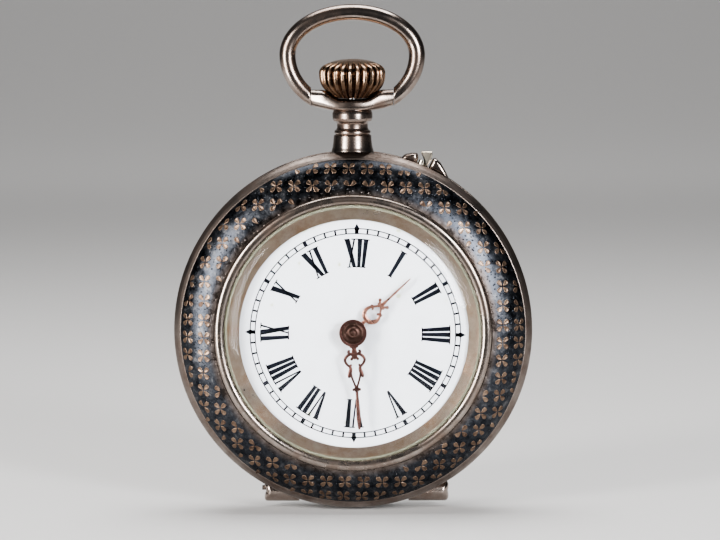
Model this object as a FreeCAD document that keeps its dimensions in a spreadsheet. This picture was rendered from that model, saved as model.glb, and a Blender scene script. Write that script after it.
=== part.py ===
"""Keyless pocket watch with a niello case: case, movement, dial and hands.

Frame: +Z up towards the bow, dial faces -Y, origin at the inner top of the bow.
Everything is laid out around the case centre and moved down by case_center_z.
Angles of layout points run from +X towards +Z; hand angles run clockwise from twelve.
"""
import FreeCAD, Part
import math
import os
import Sketcher
from FreeCAD import Placement, Rotation, Vector

doc = FreeCAD.newDocument("pocket_watch")
sheet = doc.addObject("Spreadsheet::Sheet", "dims")
UP = Vector(0, 0, 1)
BACK = Vector(0, 1, 0)
RIGHT = Vector(1, 0, 0)
ORIGIN = Vector(0, 0, 0)


class Size:
    """A number together with the sheet expression that gives it."""

    def __init__(self, text, value):
        self.text = text
        self.value = value

    def join(self, sign, other, value):
        return Size("(%s %s %s)" % (self.text, sign, as_size(other).text), value)

    def __add__(self, other):
        return self.join("+", other, self.value + as_size(other).value)

    def __sub__(self, other):
        return self.join("-", other, self.value - as_size(other).value)

    def __mul__(self, other):
        return self.join("*", other, self.value * as_size(other).value)

    def __truediv__(self, other):
        return self.join("/", other, self.value / as_size(other).value)

    def __neg__(self):
        return as_size(0) - self

    def __float__(self):
        return float(self.value)


def as_size(number):
    """Give a plain number the same shape as a sheet value."""
    if isinstance(number, Size):
        return number
    return Size("(%.6g)" % number, float(number))


row_count = 0


def size(alias, value, note):
    """Put one named value (mm, degrees or a count) in the sheet."""
    global row_count
    row_count += 1
    text = "=" + value.text if isinstance(value, Size) else str(value)
    sheet.set("A%d" % row_count, alias)
    sheet.set("B%d" % row_count, text)
    sheet.set("C%d" % row_count, note)
    sheet.setAlias("B%d" % row_count, alias)
    return Size("dims." + alias, float(as_size(value).value))


def local(value):
    """Text of an expression for use inside the sheet itself."""
    return Size(value.text.replace("dims.", ""), value.value)


def polar(center, distance, angle):
    """Point at a distance and angle from another, as sheet expressions."""
    turn = math.radians(float(angle))
    cosine = Size("cos(%s * 1 deg)" % angle.text, math.cos(turn))
    sine = Size("sin(%s * 1 deg)" % angle.text, math.sin(turn))
    return (as_size(center[0]) + distance * cosine, as_size(center[1]) + distance * sine)


# ---- overall sizes -------------------------------------------------------------------------
case_radius = size("case_radius", 16.05, "outer radius of the case beads")
case_center_z = size("case_center_z", -27.83, "case centre below the inner top of the bow")
band_radius = size("band_radius", 15.9, "outer radius of the case middle")
band_half = size("band_half", 0.7, "half width of the case middle at its edge")
cover_gap = size("cover_gap", 0.05, "gap between the band and each cover")
seat_radius = size("seat_radius", 11.35, "bore that takes the movement")
plate_radius = size("plate_radius", 11.28, "radius of the ten-ligne main plate")
plate_front = size("plate_front", -1.2, "dial side of the main plate")
plate_back = size("plate_back", 0.5, "bridge side of the main plate")
dial_front = size("dial_front", -1.8, "face of the dial")
dial_radius = size("dial_radius", 10.9, "radius of the enamel dial")
stem_level = size("stem_level", 0.0, "axial level of the stem in the movement")
stem_radius = size("stem_radius", 0.42, "radius of the winding stem")
push_angle = size("push_angle", 67.5, "direction of the set pusher")
push_level = size("push_level", -0.1, "axial level of the set pusher")
hinge_z = size("hinge_z", -14.55, "back hinge axis below the case centre")
hinge_level = size("hinge_level", 1.0, "axial level of the back hinge axis")
knuckle_radius = size("knuckle_radius", 0.55, "radius of the back hinge knuckles")
hinge_half = size("hinge_half", 8.1, "half length of the straight back hinge")
flap_z = size("flap_z", -13.55, "dust cover hinge axis below the case centre")
flap_level = size("flap_level", 1.5, "axial level of the dust cover hinge axis")
bow_half = size("bow_half", 5.77, "half width of the bow centreline")
bow_wire = size("bow_wire", 0.68, "radius of the bow wire")
bow_pivot_z = size("bow_pivot_z", 20.85, "bow pivot above the case centre")
bow_wide_z = size("bow_wide_z", 24.6, "widest level of the bow")
bow_top_z = size("bow_top_z", 28.51, "top of the bow centreline")
horn_end = size("horn_end", 3.68, "half length of the pendant head")
hour_angle = size("hour_angle", 47.0, "hour hand clockwise from twelve")
minute_angle = size("minute_angle", 176.4, "minute hand clockwise from twelve")
hour_length = size("hour_length", 7.0, "hour hand tip from the centre")
minute_length = size("minute_length", 8.55, "minute hand tip from the centre")
hub_radius = size("hub_radius", 1.23, "boss of the minute hand")
flute_count = size("flute_count", 25, "flutes round the crown")
crown_radius = size("crown_radius", 2.95, "largest radius of the crown")

# ---- gears ---------------------------------------------------------------------------------
motion_module = size("motion_module", 0.11, "module of the motion work")
barrel_module = size("barrel_module", 0.125, "module of barrel and centre pinion")
center_module = size("center_module", 0.10, "module of centre wheel and third pinion")
third_module = size("third_module", 0.09, "module of third wheel and fourth pinion")
fourth_module = size("fourth_module", 0.08, "module of fourth wheel and escape pinion")
barrel_teeth = size("barrel_teeth", 72, "teeth of the barrel")
center_leaves = size("center_leaves", 10, "leaves of the centre pinion")
center_teeth = size("center_teeth", 64, "teeth of the centre wheel")
third_leaves = size("third_leaves", 8, "leaves of the third pinion")
third_teeth = size("third_teeth", 60, "teeth of the third wheel")
fourth_leaves = size("fourth_leaves", 8, "leaves of the fourth pinion")
fourth_teeth = size("fourth_teeth", 60, "teeth of the fourth wheel")
escape_leaves = size("escape_leaves", 6, "leaves of the escape pinion")
escape_teeth = size("escape_teeth", 15, "teeth of the escape wheel")
cannon_leaves = size("cannon_leaves", 10, "leaves of the cannon pinion")
minute_teeth = size("minute_teeth", 30, "teeth of the minute wheel")
minute_leaves = size("minute_leaves", 8, "leaves of the minute wheel pinion")
hour_teeth = size("hour_teeth", 32, "teeth of the hour wheel")
setting_teeth = size("setting_teeth", 34, "teeth of the setting wheel")
winding_teeth = size("winding_teeth", 17, "teeth of the winding pinion")
contrate_teeth = size("contrate_teeth", 18, "face teeth of the crown wheel")
crown_wheel_teeth = size("crown_wheel_teeth", 30, "edge teeth of the crown wheel")
ratchet_teeth = size("ratchet_teeth", 59, "teeth of the ratchet wheel")

doc.recompute()

# ---- layout points of the movement ---------------------------------------------------------
barrel_angle = size("barrel_angle", 125.83, "barrel seen from the centre")
third_angle = size("third_angle", -64.9, "third wheel seen from the centre")
fourth_angle = size("fourth_angle", -124.4, "fourth wheel seen from the third")
escape_angle = size("escape_angle", 161.8, "escape wheel seen from the fourth")
balance_angle = size("balance_angle", 166.0, "balance seen from the escape wheel")
crown_wheel_x = size("crown_wheel_x", 0.6, "crown wheel axis")
crown_wheel_z = size("crown_wheel_z", 8.5, "crown wheel axis")
balance_reach = size("balance_reach", 1.86, "escape wheel to balance")
CENTER = (as_size(0), as_size(0))
barrel_at = polar(CENTER, barrel_module * (barrel_teeth + center_leaves) / 2, barrel_angle)
third_at = polar(CENTER, center_module * (center_teeth + third_leaves) / 2, third_angle)
fourth_at = polar(third_at, third_module * (third_teeth + fourth_leaves) / 2, fourth_angle)
escape_at = polar(fourth_at, fourth_module * (fourth_teeth + escape_leaves) / 2, escape_angle)
balance_at = polar(escape_at, balance_reach, balance_angle)
crown_wheel_at = (crown_wheel_x, crown_wheel_z)
minute_at = (as_size(0), motion_module * (cannon_leaves + minute_teeth) / 2)
setting_at = (as_size(0), minute_at[1] + motion_module * (minute_teeth + setting_teeth) / 2)

# ---- builders ------------------------------------------------------------------------------
nodes = {}
helper_count = 0


def helper_name(kind):
    """Next free name for an object that only helps to make a piece."""
    global helper_count
    helper_count += 1
    return "%s_%d" % (kind, helper_count)


def bind(item, prop, value):
    """Bind a property to the sheet."""
    item.setExpression(prop, as_size(value).text)


def keep(name, item, at=CENTER):
    """Name a finished piece and put it at its place under the case centre."""
    item.Label = name
    bind(item, "Placement.Base.x", at[0])
    bind(item, "Placement.Base.z", case_center_z + at[1])
    nodes[name] = item
    return item


def turned(points, plane="XY_Plane", name=None):
    """Body turned from (radius, height) corners; XY turns about Y and XZ about Z."""
    body = doc.addObject("PartDesign::Body", name or helper_name("turned"))
    sketch = body.newObject("Sketcher::SketchObject", body.Name + "_profile")
    base = [item for item in body.Origin.OriginFeatures if item.Role == plane][0]
    sketch.AttachmentSupport = [(base, "")]
    sketch.MapMode = "FlatFace"
    corners = [(as_size(radius), as_size(height)) for radius, height in points]
    count = len(corners)
    for index in range(count):
        start = corners[index]
        end = corners[(index + 1) % count]
        line = Part.LineSegment(Vector(float(start[0]), float(start[1]), 0),
                                Vector(float(end[0]), float(end[1]), 0))
        sketch.addGeometry(line)
    for index in range(count):
        sketch.addConstraint(Sketcher.Constraint("Coincident", index, 2, (index + 1) % count, 1))
    for index, (radius, height) in enumerate(corners):
        if abs(float(radius)) < 1e-9:
            sketch.addConstraint(Sketcher.Constraint("PointOnObject", index, 1, -2))
        else:
            place_point(sketch, "DistanceX", index, radius)
        place_point(sketch, "DistanceY", index, height)
    turn = body.newObject("PartDesign::Revolution", body.Name + "_turn")
    turn.Profile = sketch
    turn.ReferenceAxis = (sketch, ["V_Axis"])
    turn.Angle = 360
    body.Tip = turn
    return body


def place_point(sketch, kind, index, value):
    """Tie one corner of a profile to the sheet."""
    row = sketch.addConstraint(Sketcher.Constraint(kind, -1, 1, index, 1, float(value)))
    sketch.setExpression("Constraints[%d]" % row, value.text)


def rod(radius, start, end, at=CENTER, name=None):
    """Cylinder along Y between two levels at a layout point."""
    item = doc.addObject("Part::Cylinder", name or helper_name("rod"))
    bind(item, "Radius", radius)
    bind(item, "Height", as_size(end) - start)
    item.Placement = Placement(ORIGIN, Rotation(RIGHT, -90))
    bind(item, "Placement.Base.x", at[0])
    bind(item, "Placement.Base.y", start)
    bind(item, "Placement.Base.z", at[1])
    return item


def bar(radius, start, end, level, height, name=None):
    """Cylinder along X between two places, at an axial level and a height."""
    item = doc.addObject("Part::Cylinder", name or helper_name("bar"))
    bind(item, "Radius", radius)
    bind(item, "Height", as_size(end) - start)
    item.Placement = Placement(ORIGIN, Rotation(BACK, 90))
    bind(item, "Placement.Base.x", start)
    bind(item, "Placement.Base.y", level)
    bind(item, "Placement.Base.z", height)
    return item


def spoke(radius, start, end, angle, level, name=None):
    """Cylinder along a radius of the case between two distances from its centre."""
    item = doc.addObject("Part::Cylinder", name or helper_name("spoke"))
    bind(item, "Radius", radius)
    bind(item, "Height", as_size(end) - start)
    item.Placement = Placement(ORIGIN, Rotation(BACK, 10))
    bind(item, "Placement.Rotation.Angle", as_size(90) - angle)
    foot = polar(CENTER, as_size(start), as_size(angle))
    bind(item, "Placement.Base.x", foot[0])
    bind(item, "Placement.Base.y", level)
    bind(item, "Placement.Base.z", foot[1])
    return item


def block(x_range, y_range, z_range, name=None):
    """Box between three pairs of limits."""
    item = doc.addObject("Part::Box", name or helper_name("block"))
    for prop, axis, (low, high) in (("Length", "x", x_range), ("Width", "y", y_range),
                                    ("Height", "z", z_range)):
        bind(item, prop, as_size(high) - low)
        bind(item, "Placement.Base." + axis, low)
    return item


def cut(base, tools, name=None):
    """Take every tool away from the base."""
    tool = tools[0] if len(tools) == 1 else fuse(tools)
    item = doc.addObject("Part::Cut", name or helper_name("cut"))
    item.Base = base
    item.Tool = tool
    return item


def fuse(parts, name=None):
    """Join parts into one."""
    item = doc.addObject("Part::MultiFuse", name or helper_name("joined"))
    item.Shapes = parts
    item.Refine = True
    return item


def common(base, tool, name=None):
    """Keep what two parts share."""
    item = doc.addObject("Part::Common", name or helper_name("shared"))
    item.Base = base
    item.Tool = tool
    return item


def shaped(shape, name=None):
    """Object that holds a computed shape."""
    item = doc.addObject("Part::Feature", name or helper_name("shaped"))
    item.Shape = shape
    return item


def gathered(parts, name):
    """Group of separate solids that are one kind of piece."""
    item = doc.addObject("Part::Compound", name)
    item.Links = parts
    return item


# ---- computed outlines ---------------------------------------------------------------------
def point(radius, angle, level=0.0, at=(0.0, 0.0)):
    """Point at a radius and an angle in radians, in the plane of the wheels."""
    return Vector(at[0] + radius * math.cos(angle), level, at[1] + radius * math.sin(angle))


def slab(points, start, end):
    """Closed outline in the plane of the wheels made solid between two levels."""
    corners = [Vector(corner[0], start, corner[1]) for corner in points]
    wire = Part.makePolygon(corners + corners[:1])
    return Part.Face(wire).extrude(Vector(0, end - start, 0))


def pin(radius, start, end, at=(0.0, 0.0)):
    """Cylinder along Y as a plain shape."""
    base = Vector(float(at[0]), float(start), float(at[1]))
    return Part.makeCylinder(float(radius), float(end) - float(start), base, BACK)


def toothed(teeth, module, start, end, phase=0.0, fine=0.92):
    """Gear blank with pointed-arch teeth, first tooth at the phase angle."""
    teeth = int(round(float(teeth)))
    module = float(module)
    pitch_radius = module * teeth / 2
    step = 2 * math.pi / teeth
    pitch_arc = 0.225 * fine
    outline = ((-1.15, -0.27), (-0.4, -pitch_arc - 0.015), (0.0, -pitch_arc), (0.5, -0.14),
               (0.88, -0.05), (0.88, 0.05), (0.5, 0.14), (0.0, pitch_arc),
               (-0.4, pitch_arc + 0.015), (-1.15, 0.27))
    corners = []
    for tooth in range(teeth):
        for height, share in outline:
            radius = pitch_radius + height * module
            spot = point(radius, phase + (tooth + share) * step)
            corners.append((spot.x, spot.z))
    return slab(corners, float(start), float(end))


def meshed(teeth, phase, direction, mate_teeth):
    """Phase of a mate whose gap meets the tooth of a gear along a direction."""
    step = 2 * math.pi / float(teeth)
    share = ((direction - phase) / step) % 1.0
    return direction + math.pi + (share + 0.5) * 2 * math.pi / float(mate_teeth)


def bearing(start, end):
    """Angle of the line from one layout point to another."""
    return math.atan2(float(end[1]) - float(start[1]), float(end[0]) - float(start[0]))


def crossed_out(blank, inner, outer, arms, width, start, end):
    """Cut the windows between the arms of a wheel."""
    window = pin(outer, start - 0.1, end + 0.1).cut(pin(inner, start - 0.2, end + 0.2))
    for arm in range(arms):
        beam = Part.makeBox(outer + 1, end - start + 1, width, Vector(0, start - 0.5, -width / 2))
        beam.rotate(ORIGIN, BACK, 360.0 * arm / arms)
        window = window.cut(beam)
    return blank.cut(window)


def tapered(start, start_radius, end, end_radius, low, high, margin=0.0):
    """Arm with two rounded ends of different radii between two levels."""
    first = start_radius + margin
    second = end_radius + margin
    angle = math.atan2(end[1] - start[1], end[0] - start[0])
    length = math.hypot(end[0] - start[0], end[1] - start[1])
    lean = math.acos(max(-1.0, min(1.0, (first - second) / length)))
    upper_start = point(first, angle + lean, low, start)
    upper_end = point(second, angle + lean, low, end)
    lower_end = point(second, angle - lean, low, end)
    lower_start = point(first, angle - lean, low, start)
    nose = Part.Arc(upper_end, point(second, angle, low, end), lower_end)
    heel = Part.Arc(lower_start, point(first, angle + math.pi, low, start), upper_start)
    wire = Part.Wire([Part.makeLine(upper_start, upper_end), nose.toShape(),
                      Part.makeLine(lower_end, lower_start), heel.toShape()])
    return Part.Face(wire).extrude(Vector(0, high - low, 0))


def plain(at):
    """Layout point as two plain numbers."""
    return (float(at[0]), float(at[1]))


def screw(at, top, length, head_radius, head_height, slot_angle):
    """Slotted screw with its head above a level and its shank below."""
    solid = pin(head_radius, top, top + head_height, at)
    solid = solid.fuse(pin(head_radius * 0.5, top - length, top, at))
    slot = Part.makeBox(head_radius * 3, head_height * 0.5, head_radius * 0.28,
                        Vector(-head_radius * 1.5, top + head_height * 0.55, -head_radius * 0.14))
    slot.rotate(ORIGIN, BACK, slot_angle)
    slot.translate(Vector(at[0], 0, at[1]))
    return solid.cut(slot).removeSplitter()


def ring_piece(outer, inner, low, high, at):
    """Flat ring as a plain shape."""
    return pin(outer, low, high, at).cut(pin(inner, low - 0.1, high + 0.1, at))


def spiral(inner, outer, turns, width, low, high, start_angle=0.0):
    """Flat spiral strip of even pitch."""
    steps = int(turns * 22)
    inside = []
    outside = []
    for index in range(steps + 1):
        share = index / steps
        radius = inner + (outer - inner) * share
        angle = start_angle + share * turns * 2 * math.pi
        near = point(radius - width / 2, angle)
        far = point(radius + width / 2, angle)
        inside.append((near.x, near.z))
        outside.append((far.x, far.z))
    return slab(inside + outside[::-1], low, high)


# ---- case middle ---------------------------------------------------------------------------
pusher_bore = spoke(0.4, 10.6, 17.0, push_angle, push_level)
band = turned([
    (seat_radius, -0.8), (11.66, -0.8), (11.66, -1.1), (14.2, -1.1), (14.2, -1.55),
    (14.75, -1.55), (14.75, -band_half), (band_radius - 0.05, -band_half), (band_radius, -0.45),
    (band_radius, 0.45), (band_radius - 0.05, band_half), (14.9, band_half), (14.9, 1.35),
    (14.3, 1.35), (14.3, 1.1), (seat_radius, 1.1)])
bed = common(rod(band_radius - 0.05, band_half - 0.1, hinge_level - 0.05),
             block((-9, 9), (0, 2), (-17, hinge_z + 0.3)))
hinge_room = block((-hinge_half - 0.3, hinge_half + 0.3), (0.42, 3),
                   (hinge_z - 0.02, hinge_z + 0.95))
knob_radius = knuckle_radius + 0.03
hinge_groove = bar(0.6, -hinge_half - 0.3, hinge_half + 0.3, hinge_level, hinge_z)
case_knuckles = []
for low, high in ((-hinge_half, -4.9), (-1.6, 1.6), (4.9, hinge_half)):
    case_knuckles.append(bar(knuckle_radius, low, high, hinge_level, hinge_z))
    case_knuckles.append(block((low, high), (0.3, hinge_level - 0.1),
                               (hinge_z - 0.35, hinge_z + 0.35)))
for side in (-1, 1):
    knob = doc.addObject("Part::Sphere", helper_name("knob"))
    bind(knob, "Radius", knob_radius)
    bind(knob, "Placement.Base.x", hinge_half * side)
    bind(knob, "Placement.Base.y", hinge_level)
    bind(knob, "Placement.Base.z", hinge_z)
    case_knuckles.append(knob)
flap_lugs = []
for low, high in ((-2.6, -1.55), (1.55, 2.6)):
    flap_lugs.append(block((low, high), (0.95, flap_level), (flap_z - 0.28, flap_z + 0.28)))
    flap_lugs.append(bar(0.28, low, high, flap_level, flap_z))
flap_room = block((-2.8, 2.8), (1.02, 3), (flap_z - 0.42, flap_z + 0.45))
band_cut = cut(fuse([band, bed]), [hinge_room, hinge_groove, flap_room])
band_full = fuse([band_cut] + case_knuckles + flap_lugs)
band_bores = [
    bar(0.24, -hinge_half - 1, hinge_half + 1, hinge_level, hinge_z),
    bar(0.11, -3, 3, flap_level, flap_z),
    pusher_bore,
]
stem_bore = doc.addObject("Part::Cylinder", "stem_bore")
bind(stem_bore, "Radius", 0.6)
bind(stem_bore, "Height", 8)
bind(stem_bore, "Placement.Base.z", 10)
keep("case_middle", cut(band_full, band_bores + [stem_bore], "case_middle"))

# ---- bezel, dial ring and crystal ----------------------------------------------------------
bezel_rear = -band_half - cover_gap
keep("bezel", turned([
    (14.8, bezel_rear), (case_radius - 0.05, bezel_rear), (case_radius, -0.92),
    (case_radius - 0.05, -1.1), (15.72, -1.2), (15.55, -1.52), (15.25, -1.92), (14.9, -2.26),
    (14.5, -2.55), (14.05, -2.8), (13.6, -3.0), (13.1, -3.17), (12.5, -3.32), (12.3, -3.42),
    (12.1, -3.6), (11.78, -3.62), (11.55, -3.5), (11.55, -3.32), (12.08, -3.32),
    (12.08, -3.02), (11.5, -3.02), (11.5, -2.7), (12.35, -2.7), (13.3, -2.45), (14.1, -2.05),
    (14.8, -1.6)], name="bezel"))
keep("crystal", turned([
    (12.05, -3.3), (12.05, -3.04), (11.3, -3.04), (10.8, -3.4), (9.0, -3.9), (6.0, -4.25),
    (3.0, -4.4), (0, -4.45), (0, -5.05), (3.0, -5.0), (6.0, -4.85), (9.0, -4.45),
    (10.5, -4.05), (11.2, -3.68), (11.5, -3.3)], name="crystal"))
ring_blank = turned([
    (10.22, -1.95), (10.22, -1.85), (10.7, -1.85), (11.45, -2.6), (11.45, -2.98), (11.15, -2.98)])
keep("dial_ring", cut(ring_blank, [block((-0.04, 0.04), (-4, 0), (-12, -9))], "dial_ring"))

# ---- covers --------------------------------------------------------------------------------
cover_shell = turned([
    (14.95, band_half + cover_gap), (case_radius - 0.05, band_half + cover_gap),
    (case_radius, 0.92), (case_radius - 0.05, 1.1), (15.72, 1.2), (15.55, 1.5), (15.2, 1.95),
    (14.8, 2.35), (14.3, 2.72), (13.7, 3.07), (12.8, 3.5), (11.5, 3.95), (10.2, 4.3),
    (9.0, 4.55), (7.5, 4.78), (6.0, 4.9), (0, 4.9), (0, 4.5), (6.0, 4.46), (9.0, 4.12),
    (11.4, 3.55), (13.0, 2.98), (14.1, 2.3), (14.75, 1.6), (14.95, 1.42)])
cover_cut = cut(cover_shell, [block((-17, 17), (0, 6), (-17, hinge_z + 0.62))])
cover_solid = turned([
    (0, 1.42), (15.6, 1.42), (15.55, 1.5), (15.2, 1.95), (14.8, 2.35), (14.3, 2.72),
    (13.7, 3.07), (12.8, 3.5), (0, 3.5)])
cover_wall = common(cover_solid, block((-7.6, 7.6), (hinge_level + 0.62, 4),
                                       (hinge_z + 0.45, hinge_z + 0.68)))
cover_knuckles = [cover_wall]
for low, high in ((-4.85, -1.65), (1.65, 4.85)):
    cover_knuckles.append(bar(knuckle_radius, low, high, hinge_level, hinge_z))
    cover_knuckles.append(block((low, high), (hinge_level - 0.1, hinge_level + 0.75),
                                (hinge_z + 0.3, hinge_z + 0.66)))
cover_full = fuse([cover_cut] + cover_knuckles)
keep("back_cover", cut(cover_full, [bar(0.24, -9, 9, hinge_level, hinge_z)], "back_cover"))

flap_shell = turned([
    (13.9, 1.15), (13.9, 1.42), (13.5, 1.62), (13.25, 2.2), (12.5, 2.85), (11.2, 3.35),
    (9.0, 3.72), (5.0, 3.9), (0, 3.95), (0, 3.67), (5.0, 3.62), (9.0, 3.44), (11.0, 3.1),
    (12.15, 2.65), (12.9, 2.05), (13.1, 1.15)])
flap_cut = cut(flap_shell, [block((-2.75, 2.75), (0, 2.3), (-15, flap_z + 0.36))])
flap_parts = [flap_cut, bar(0.28, -1.5, 1.5, flap_level, flap_z)]
flap_parts.append(block((-1.5, 1.5), (flap_level - 0.22, flap_level + 0.28),
                        (flap_z, flap_z + 0.6)))
keep("dust_cover", cut(fuse(flap_parts), [bar(0.11, -3, 3, flap_level, flap_z)], "dust_cover"))
pins = [bar(0.22, -hinge_half - 0.2, hinge_half + 0.2, hinge_level, hinge_z),
        bar(0.1, -2.6, 2.6, flap_level, flap_z)]
keep("hinge_pins", gathered(pins, "hinge_pins"))

# ---- pendant, bow and crown ----------------------------------------------------------------
neck = turned([
    (0.48, 14.75), (0.6, 14.75), (0.6, 15.3), (2.0, 15.3), (1.95, 16.1), (1.83, 16.35),
    (1.7, 16.75), (1.63, 17.1), (1.59, 17.5), (1.45, 17.56), (1.58, 17.66), (1.61, 17.76),
    (1.58, 17.88), (1.45, 17.97), (1.42, 18.15), (1.43, 18.5), (1.5, 18.66), (1.69, 18.74),
    (1.74, 19.2), (1.7, 19.62), (1.5, 19.7), (1.5, 20.0), (0.48, 20.0)], plane="XZ_Plane")


def head_shape():
    """Pendant head: two shoulders with a hollow for the crown, carrying on to the bow."""
    end = float(horn_end)
    right_half = [(0.0, 20.67), (1.0, 20.67), (1.7, 20.75), (2.3, 21.2), (2.9, 21.46), (end, 21.5)]
    crest = [Vector(-x, 0, z) for x, z in right_half[:0:-1]]
    crest += [Vector(x, 0, z) for x, z in right_half]
    curve = Part.BSplineCurve()
    curve.interpolate(crest)
    lower = Part.Arc(Vector(end, 0, 19.98), Vector(0, 0, 19.56), Vector(-end, 0, 19.98))
    edges = [curve.toShape(), Part.makeLine(Vector(end, 0, 21.5), Vector(end, 0, 19.98)),
             lower.toShape(), Part.makeLine(Vector(-end, 0, 19.98), Vector(-end, 0, 21.5))]
    face = Part.Face(Part.Wire(Part.__sortEdges__(edges)))
    side = face.extrude(Vector(0, 6, 0))
    side.translate(Vector(0, -3, 0))
    front = Part.Arc(Vector(-end, -0.65, 0), Vector(0, -1.6, 0), Vector(end, -0.65, 0))
    rear = Part.Arc(Vector(end, 0.65, 0), Vector(0, 1.6, 0), Vector(-end, 0.65, 0))
    edges = [front.toShape(), Part.makeLine(Vector(end, -0.65, 0), Vector(end, 0.65, 0)),
             rear.toShape(), Part.makeLine(Vector(-end, 0.65, 0), Vector(-end, -0.65, 0))]
    plan = Part.Face(Part.Wire(Part.__sortEdges__(edges))).extrude(Vector(0, 0, 30))
    solid = side.common(plan)
    long_edges = [edge for edge in solid.Edges if edge.BoundBox.XLength > 5]
    return solid.makeFillet(0.3, long_edges)


head = shaped(head_shape())
case_room = fuse([rod(band_radius, -band_half + 0.02, band_half - 0.02),
                  rod(case_radius + 0.03, -3, -band_half + 0.02),
                  rod(case_radius + 0.03, band_half - 0.02, 3)])
neck_tube = doc.addObject("Part::Cylinder", "neck_tube")
bind(neck_tube, "Radius", 0.6)
bind(neck_tube, "Height", 1.5)
bind(neck_tube, "Placement.Base.z", 14.8)
stem_way = doc.addObject("Part::Cylinder", "stem_way")
bind(stem_way, "Radius", stem_radius + 0.05)
bind(stem_way, "Height", 8)
bind(stem_way, "Placement.Base.z", 14)
crown_seat = doc.addObject("Part::Cylinder", "crown_seat")
bind(crown_seat, "Radius", 1.7)
bind(crown_seat, "Height", 3)
bind(crown_seat, "Placement.Base.z", 20.7)
bow_holes = bar(0.3, -5, 5, 0, bow_pivot_z)
bow_hole_fill = bar(1.0, -2.7, 2.7, 0, bow_pivot_z)
pendant_blank = fuse([cut(neck, [case_room]), neck_tube, head])
pendant_tools = [stem_way, crown_seat, cut(bow_holes, [bow_hole_fill])]
keep("pendant", cut(pendant_blank, pendant_tools, "pendant"))
bow_pin_parts = [bar(0.3, -4.35, -2.7, 0, bow_pivot_z), bar(0.3, 2.7, 4.35, 0, bow_pivot_z)]
keep("bow_pins", gathered(bow_pin_parts, "bow_pins"))


def bow_shape():
    """Oval ring open at the bottom, its ends level with the pivot."""
    half = float(bow_half)
    wide = float(bow_wide_z)
    top = float(bow_top_z) - wide
    end_x = float(horn_end) + 0.04
    drop = (wide - float(bow_pivot_z)) / math.sqrt(1 - (end_x / half) ** 2)
    limit = math.acos(end_x / half)
    spots = []
    for index in range(41):
        angle = -limit + (math.pi + 2 * limit) * index / 40
        rise = top if math.sin(angle) > 0 else drop
        spots.append(Vector(half * math.cos(angle), 0, wide + rise * math.sin(angle)))
    curve = Part.BSplineCurve()
    curve.interpolate(spots)
    path = Part.Wire([curve.toShape()])
    start_tangent = curve.tangent(curve.FirstParameter)[0]
    circle = Part.makeCircle(float(bow_wire), spots[0], start_tangent)
    solid = path.makePipeShell([Part.Wire([circle])], True, True)
    keep_out = Part.makeBox(2 * end_x, 4, 3, Vector(-end_x, -2, float(bow_pivot_z) - 1.8))
    holes = Part.makeCylinder(0.34, 10, Vector(-5, 0, float(bow_pivot_z)), RIGHT)
    middle = Part.makeBox(8.84, 4, 4, Vector(-4.42, -2, float(bow_pivot_z) - 2))
    return solid.cut(keep_out).cut(holes.common(middle))


keep("bow", shaped(bow_shape(), "bow"))

crown_blank = turned([
    (stem_radius, 20.78), (1.55, 20.78), (2.15, 21.3), (2.6, 21.8), (2.86, 22.4),
    (crown_radius, 22.8), (crown_radius, 23.15), (crown_radius - 0.15, 23.45),
    (crown_radius - 0.5, 23.76), (1.6, 24.08), (0.8, 24.22), (0, 24.27), (0, 23.2),
    (stem_radius, 23.2)], plane="XZ_Plane")


def flutes():
    """Grooves that lean out with the crown, spread evenly round it."""
    tools = []
    count = int(float(flute_count))
    for index in range(count):
        angle = 2 * math.pi * index / count
        low = Vector(1.72 * math.cos(angle), 1.72 * math.sin(angle), 20.6)
        mid = Vector(3.06 * math.cos(angle), 3.06 * math.sin(angle), 22.45)
        high = Vector(3.08 * math.cos(angle), 3.08 * math.sin(angle), 24.0)
        tools.append(Part.makeCylinder(0.22, (mid - low).Length, low, mid - low))
        tools.append(Part.makeCylinder(0.22, (high - mid).Length, mid, high - mid))
        tools.append(Part.makeSphere(0.22, mid))
    return Part.makeCompound(tools)


keep("crown", cut(crown_blank, [shaped(flutes())], "crown"))
keep("stem", turned([
    (0, 7.75), (0.3, 7.75), (0.3, 9.15), (stem_radius, 9.15), (stem_radius, 23.2), (0, 23.2)],
    plane="XZ_Plane", name="stem"))

# ---- set pusher and its guards -------------------------------------------------------------
push_turn = math.radians(90 - float(push_angle))


def rim_point(clock_degrees, radius):
    """Point on the rim by clock angle."""
    turn = math.radians(clock_degrees)
    return (radius * math.sin(turn), radius * math.cos(turn))


def guard(feet, crest):
    """One guard: a hump on the band that rises beside the pusher."""
    inner = float(band_radius)
    first, last = feet
    corners = []
    for index in range(9):
        corners.append(rim_point(first + (last - first) * index / 8, inner - 0.02))
    for clock, radius in crest:
        corners.append(rim_point(clock, radius))
    return slab(corners, -0.6, 0.6)


LEFT_CREST = ((21.0, 16.78), (19.6, 16.72), (17.8, 16.42))
RIGHT_CREST = ((24.75, 16.93), (25.8, 17.05), (27.8, 16.88), (30.1, 16.49), (31.8, 16.2))
guards = Part.makeCompound([guard((15.8, 20.95), LEFT_CREST), guard((33.0, 24.5), RIGHT_CREST)])
guards = Part.makeCompound([solid.cut(pin(15.9, -1, 1)) for solid in guards.Solids])
keep("pusher_guards", shaped(guards, "pusher_guards"))
HEAD_FOOT = 16.27
SHAFT_FOOT = 11.24
head_points = [(-0.12, HEAD_FOOT), (0.46, HEAD_FOOT), (0.5, 16.7), (0.49, 17.1), (0.43, 17.32),
               (0.3, 17.37), (0.05, 17.25), (-0.25, 17.16), (-0.38, 17.02), (-0.35, 16.8),
               (-0.24, 16.5)]
pusher = slab(head_points, -0.45, 0.45)
shaft_start = Vector(0, float(push_level), SHAFT_FOOT)
pusher = pusher.fuse(Part.makeCylinder(0.35, HEAD_FOOT + 0.1 - SHAFT_FOOT, shaft_start, UP))
pusher.rotate(ORIGIN, BACK, math.degrees(push_turn))
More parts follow.
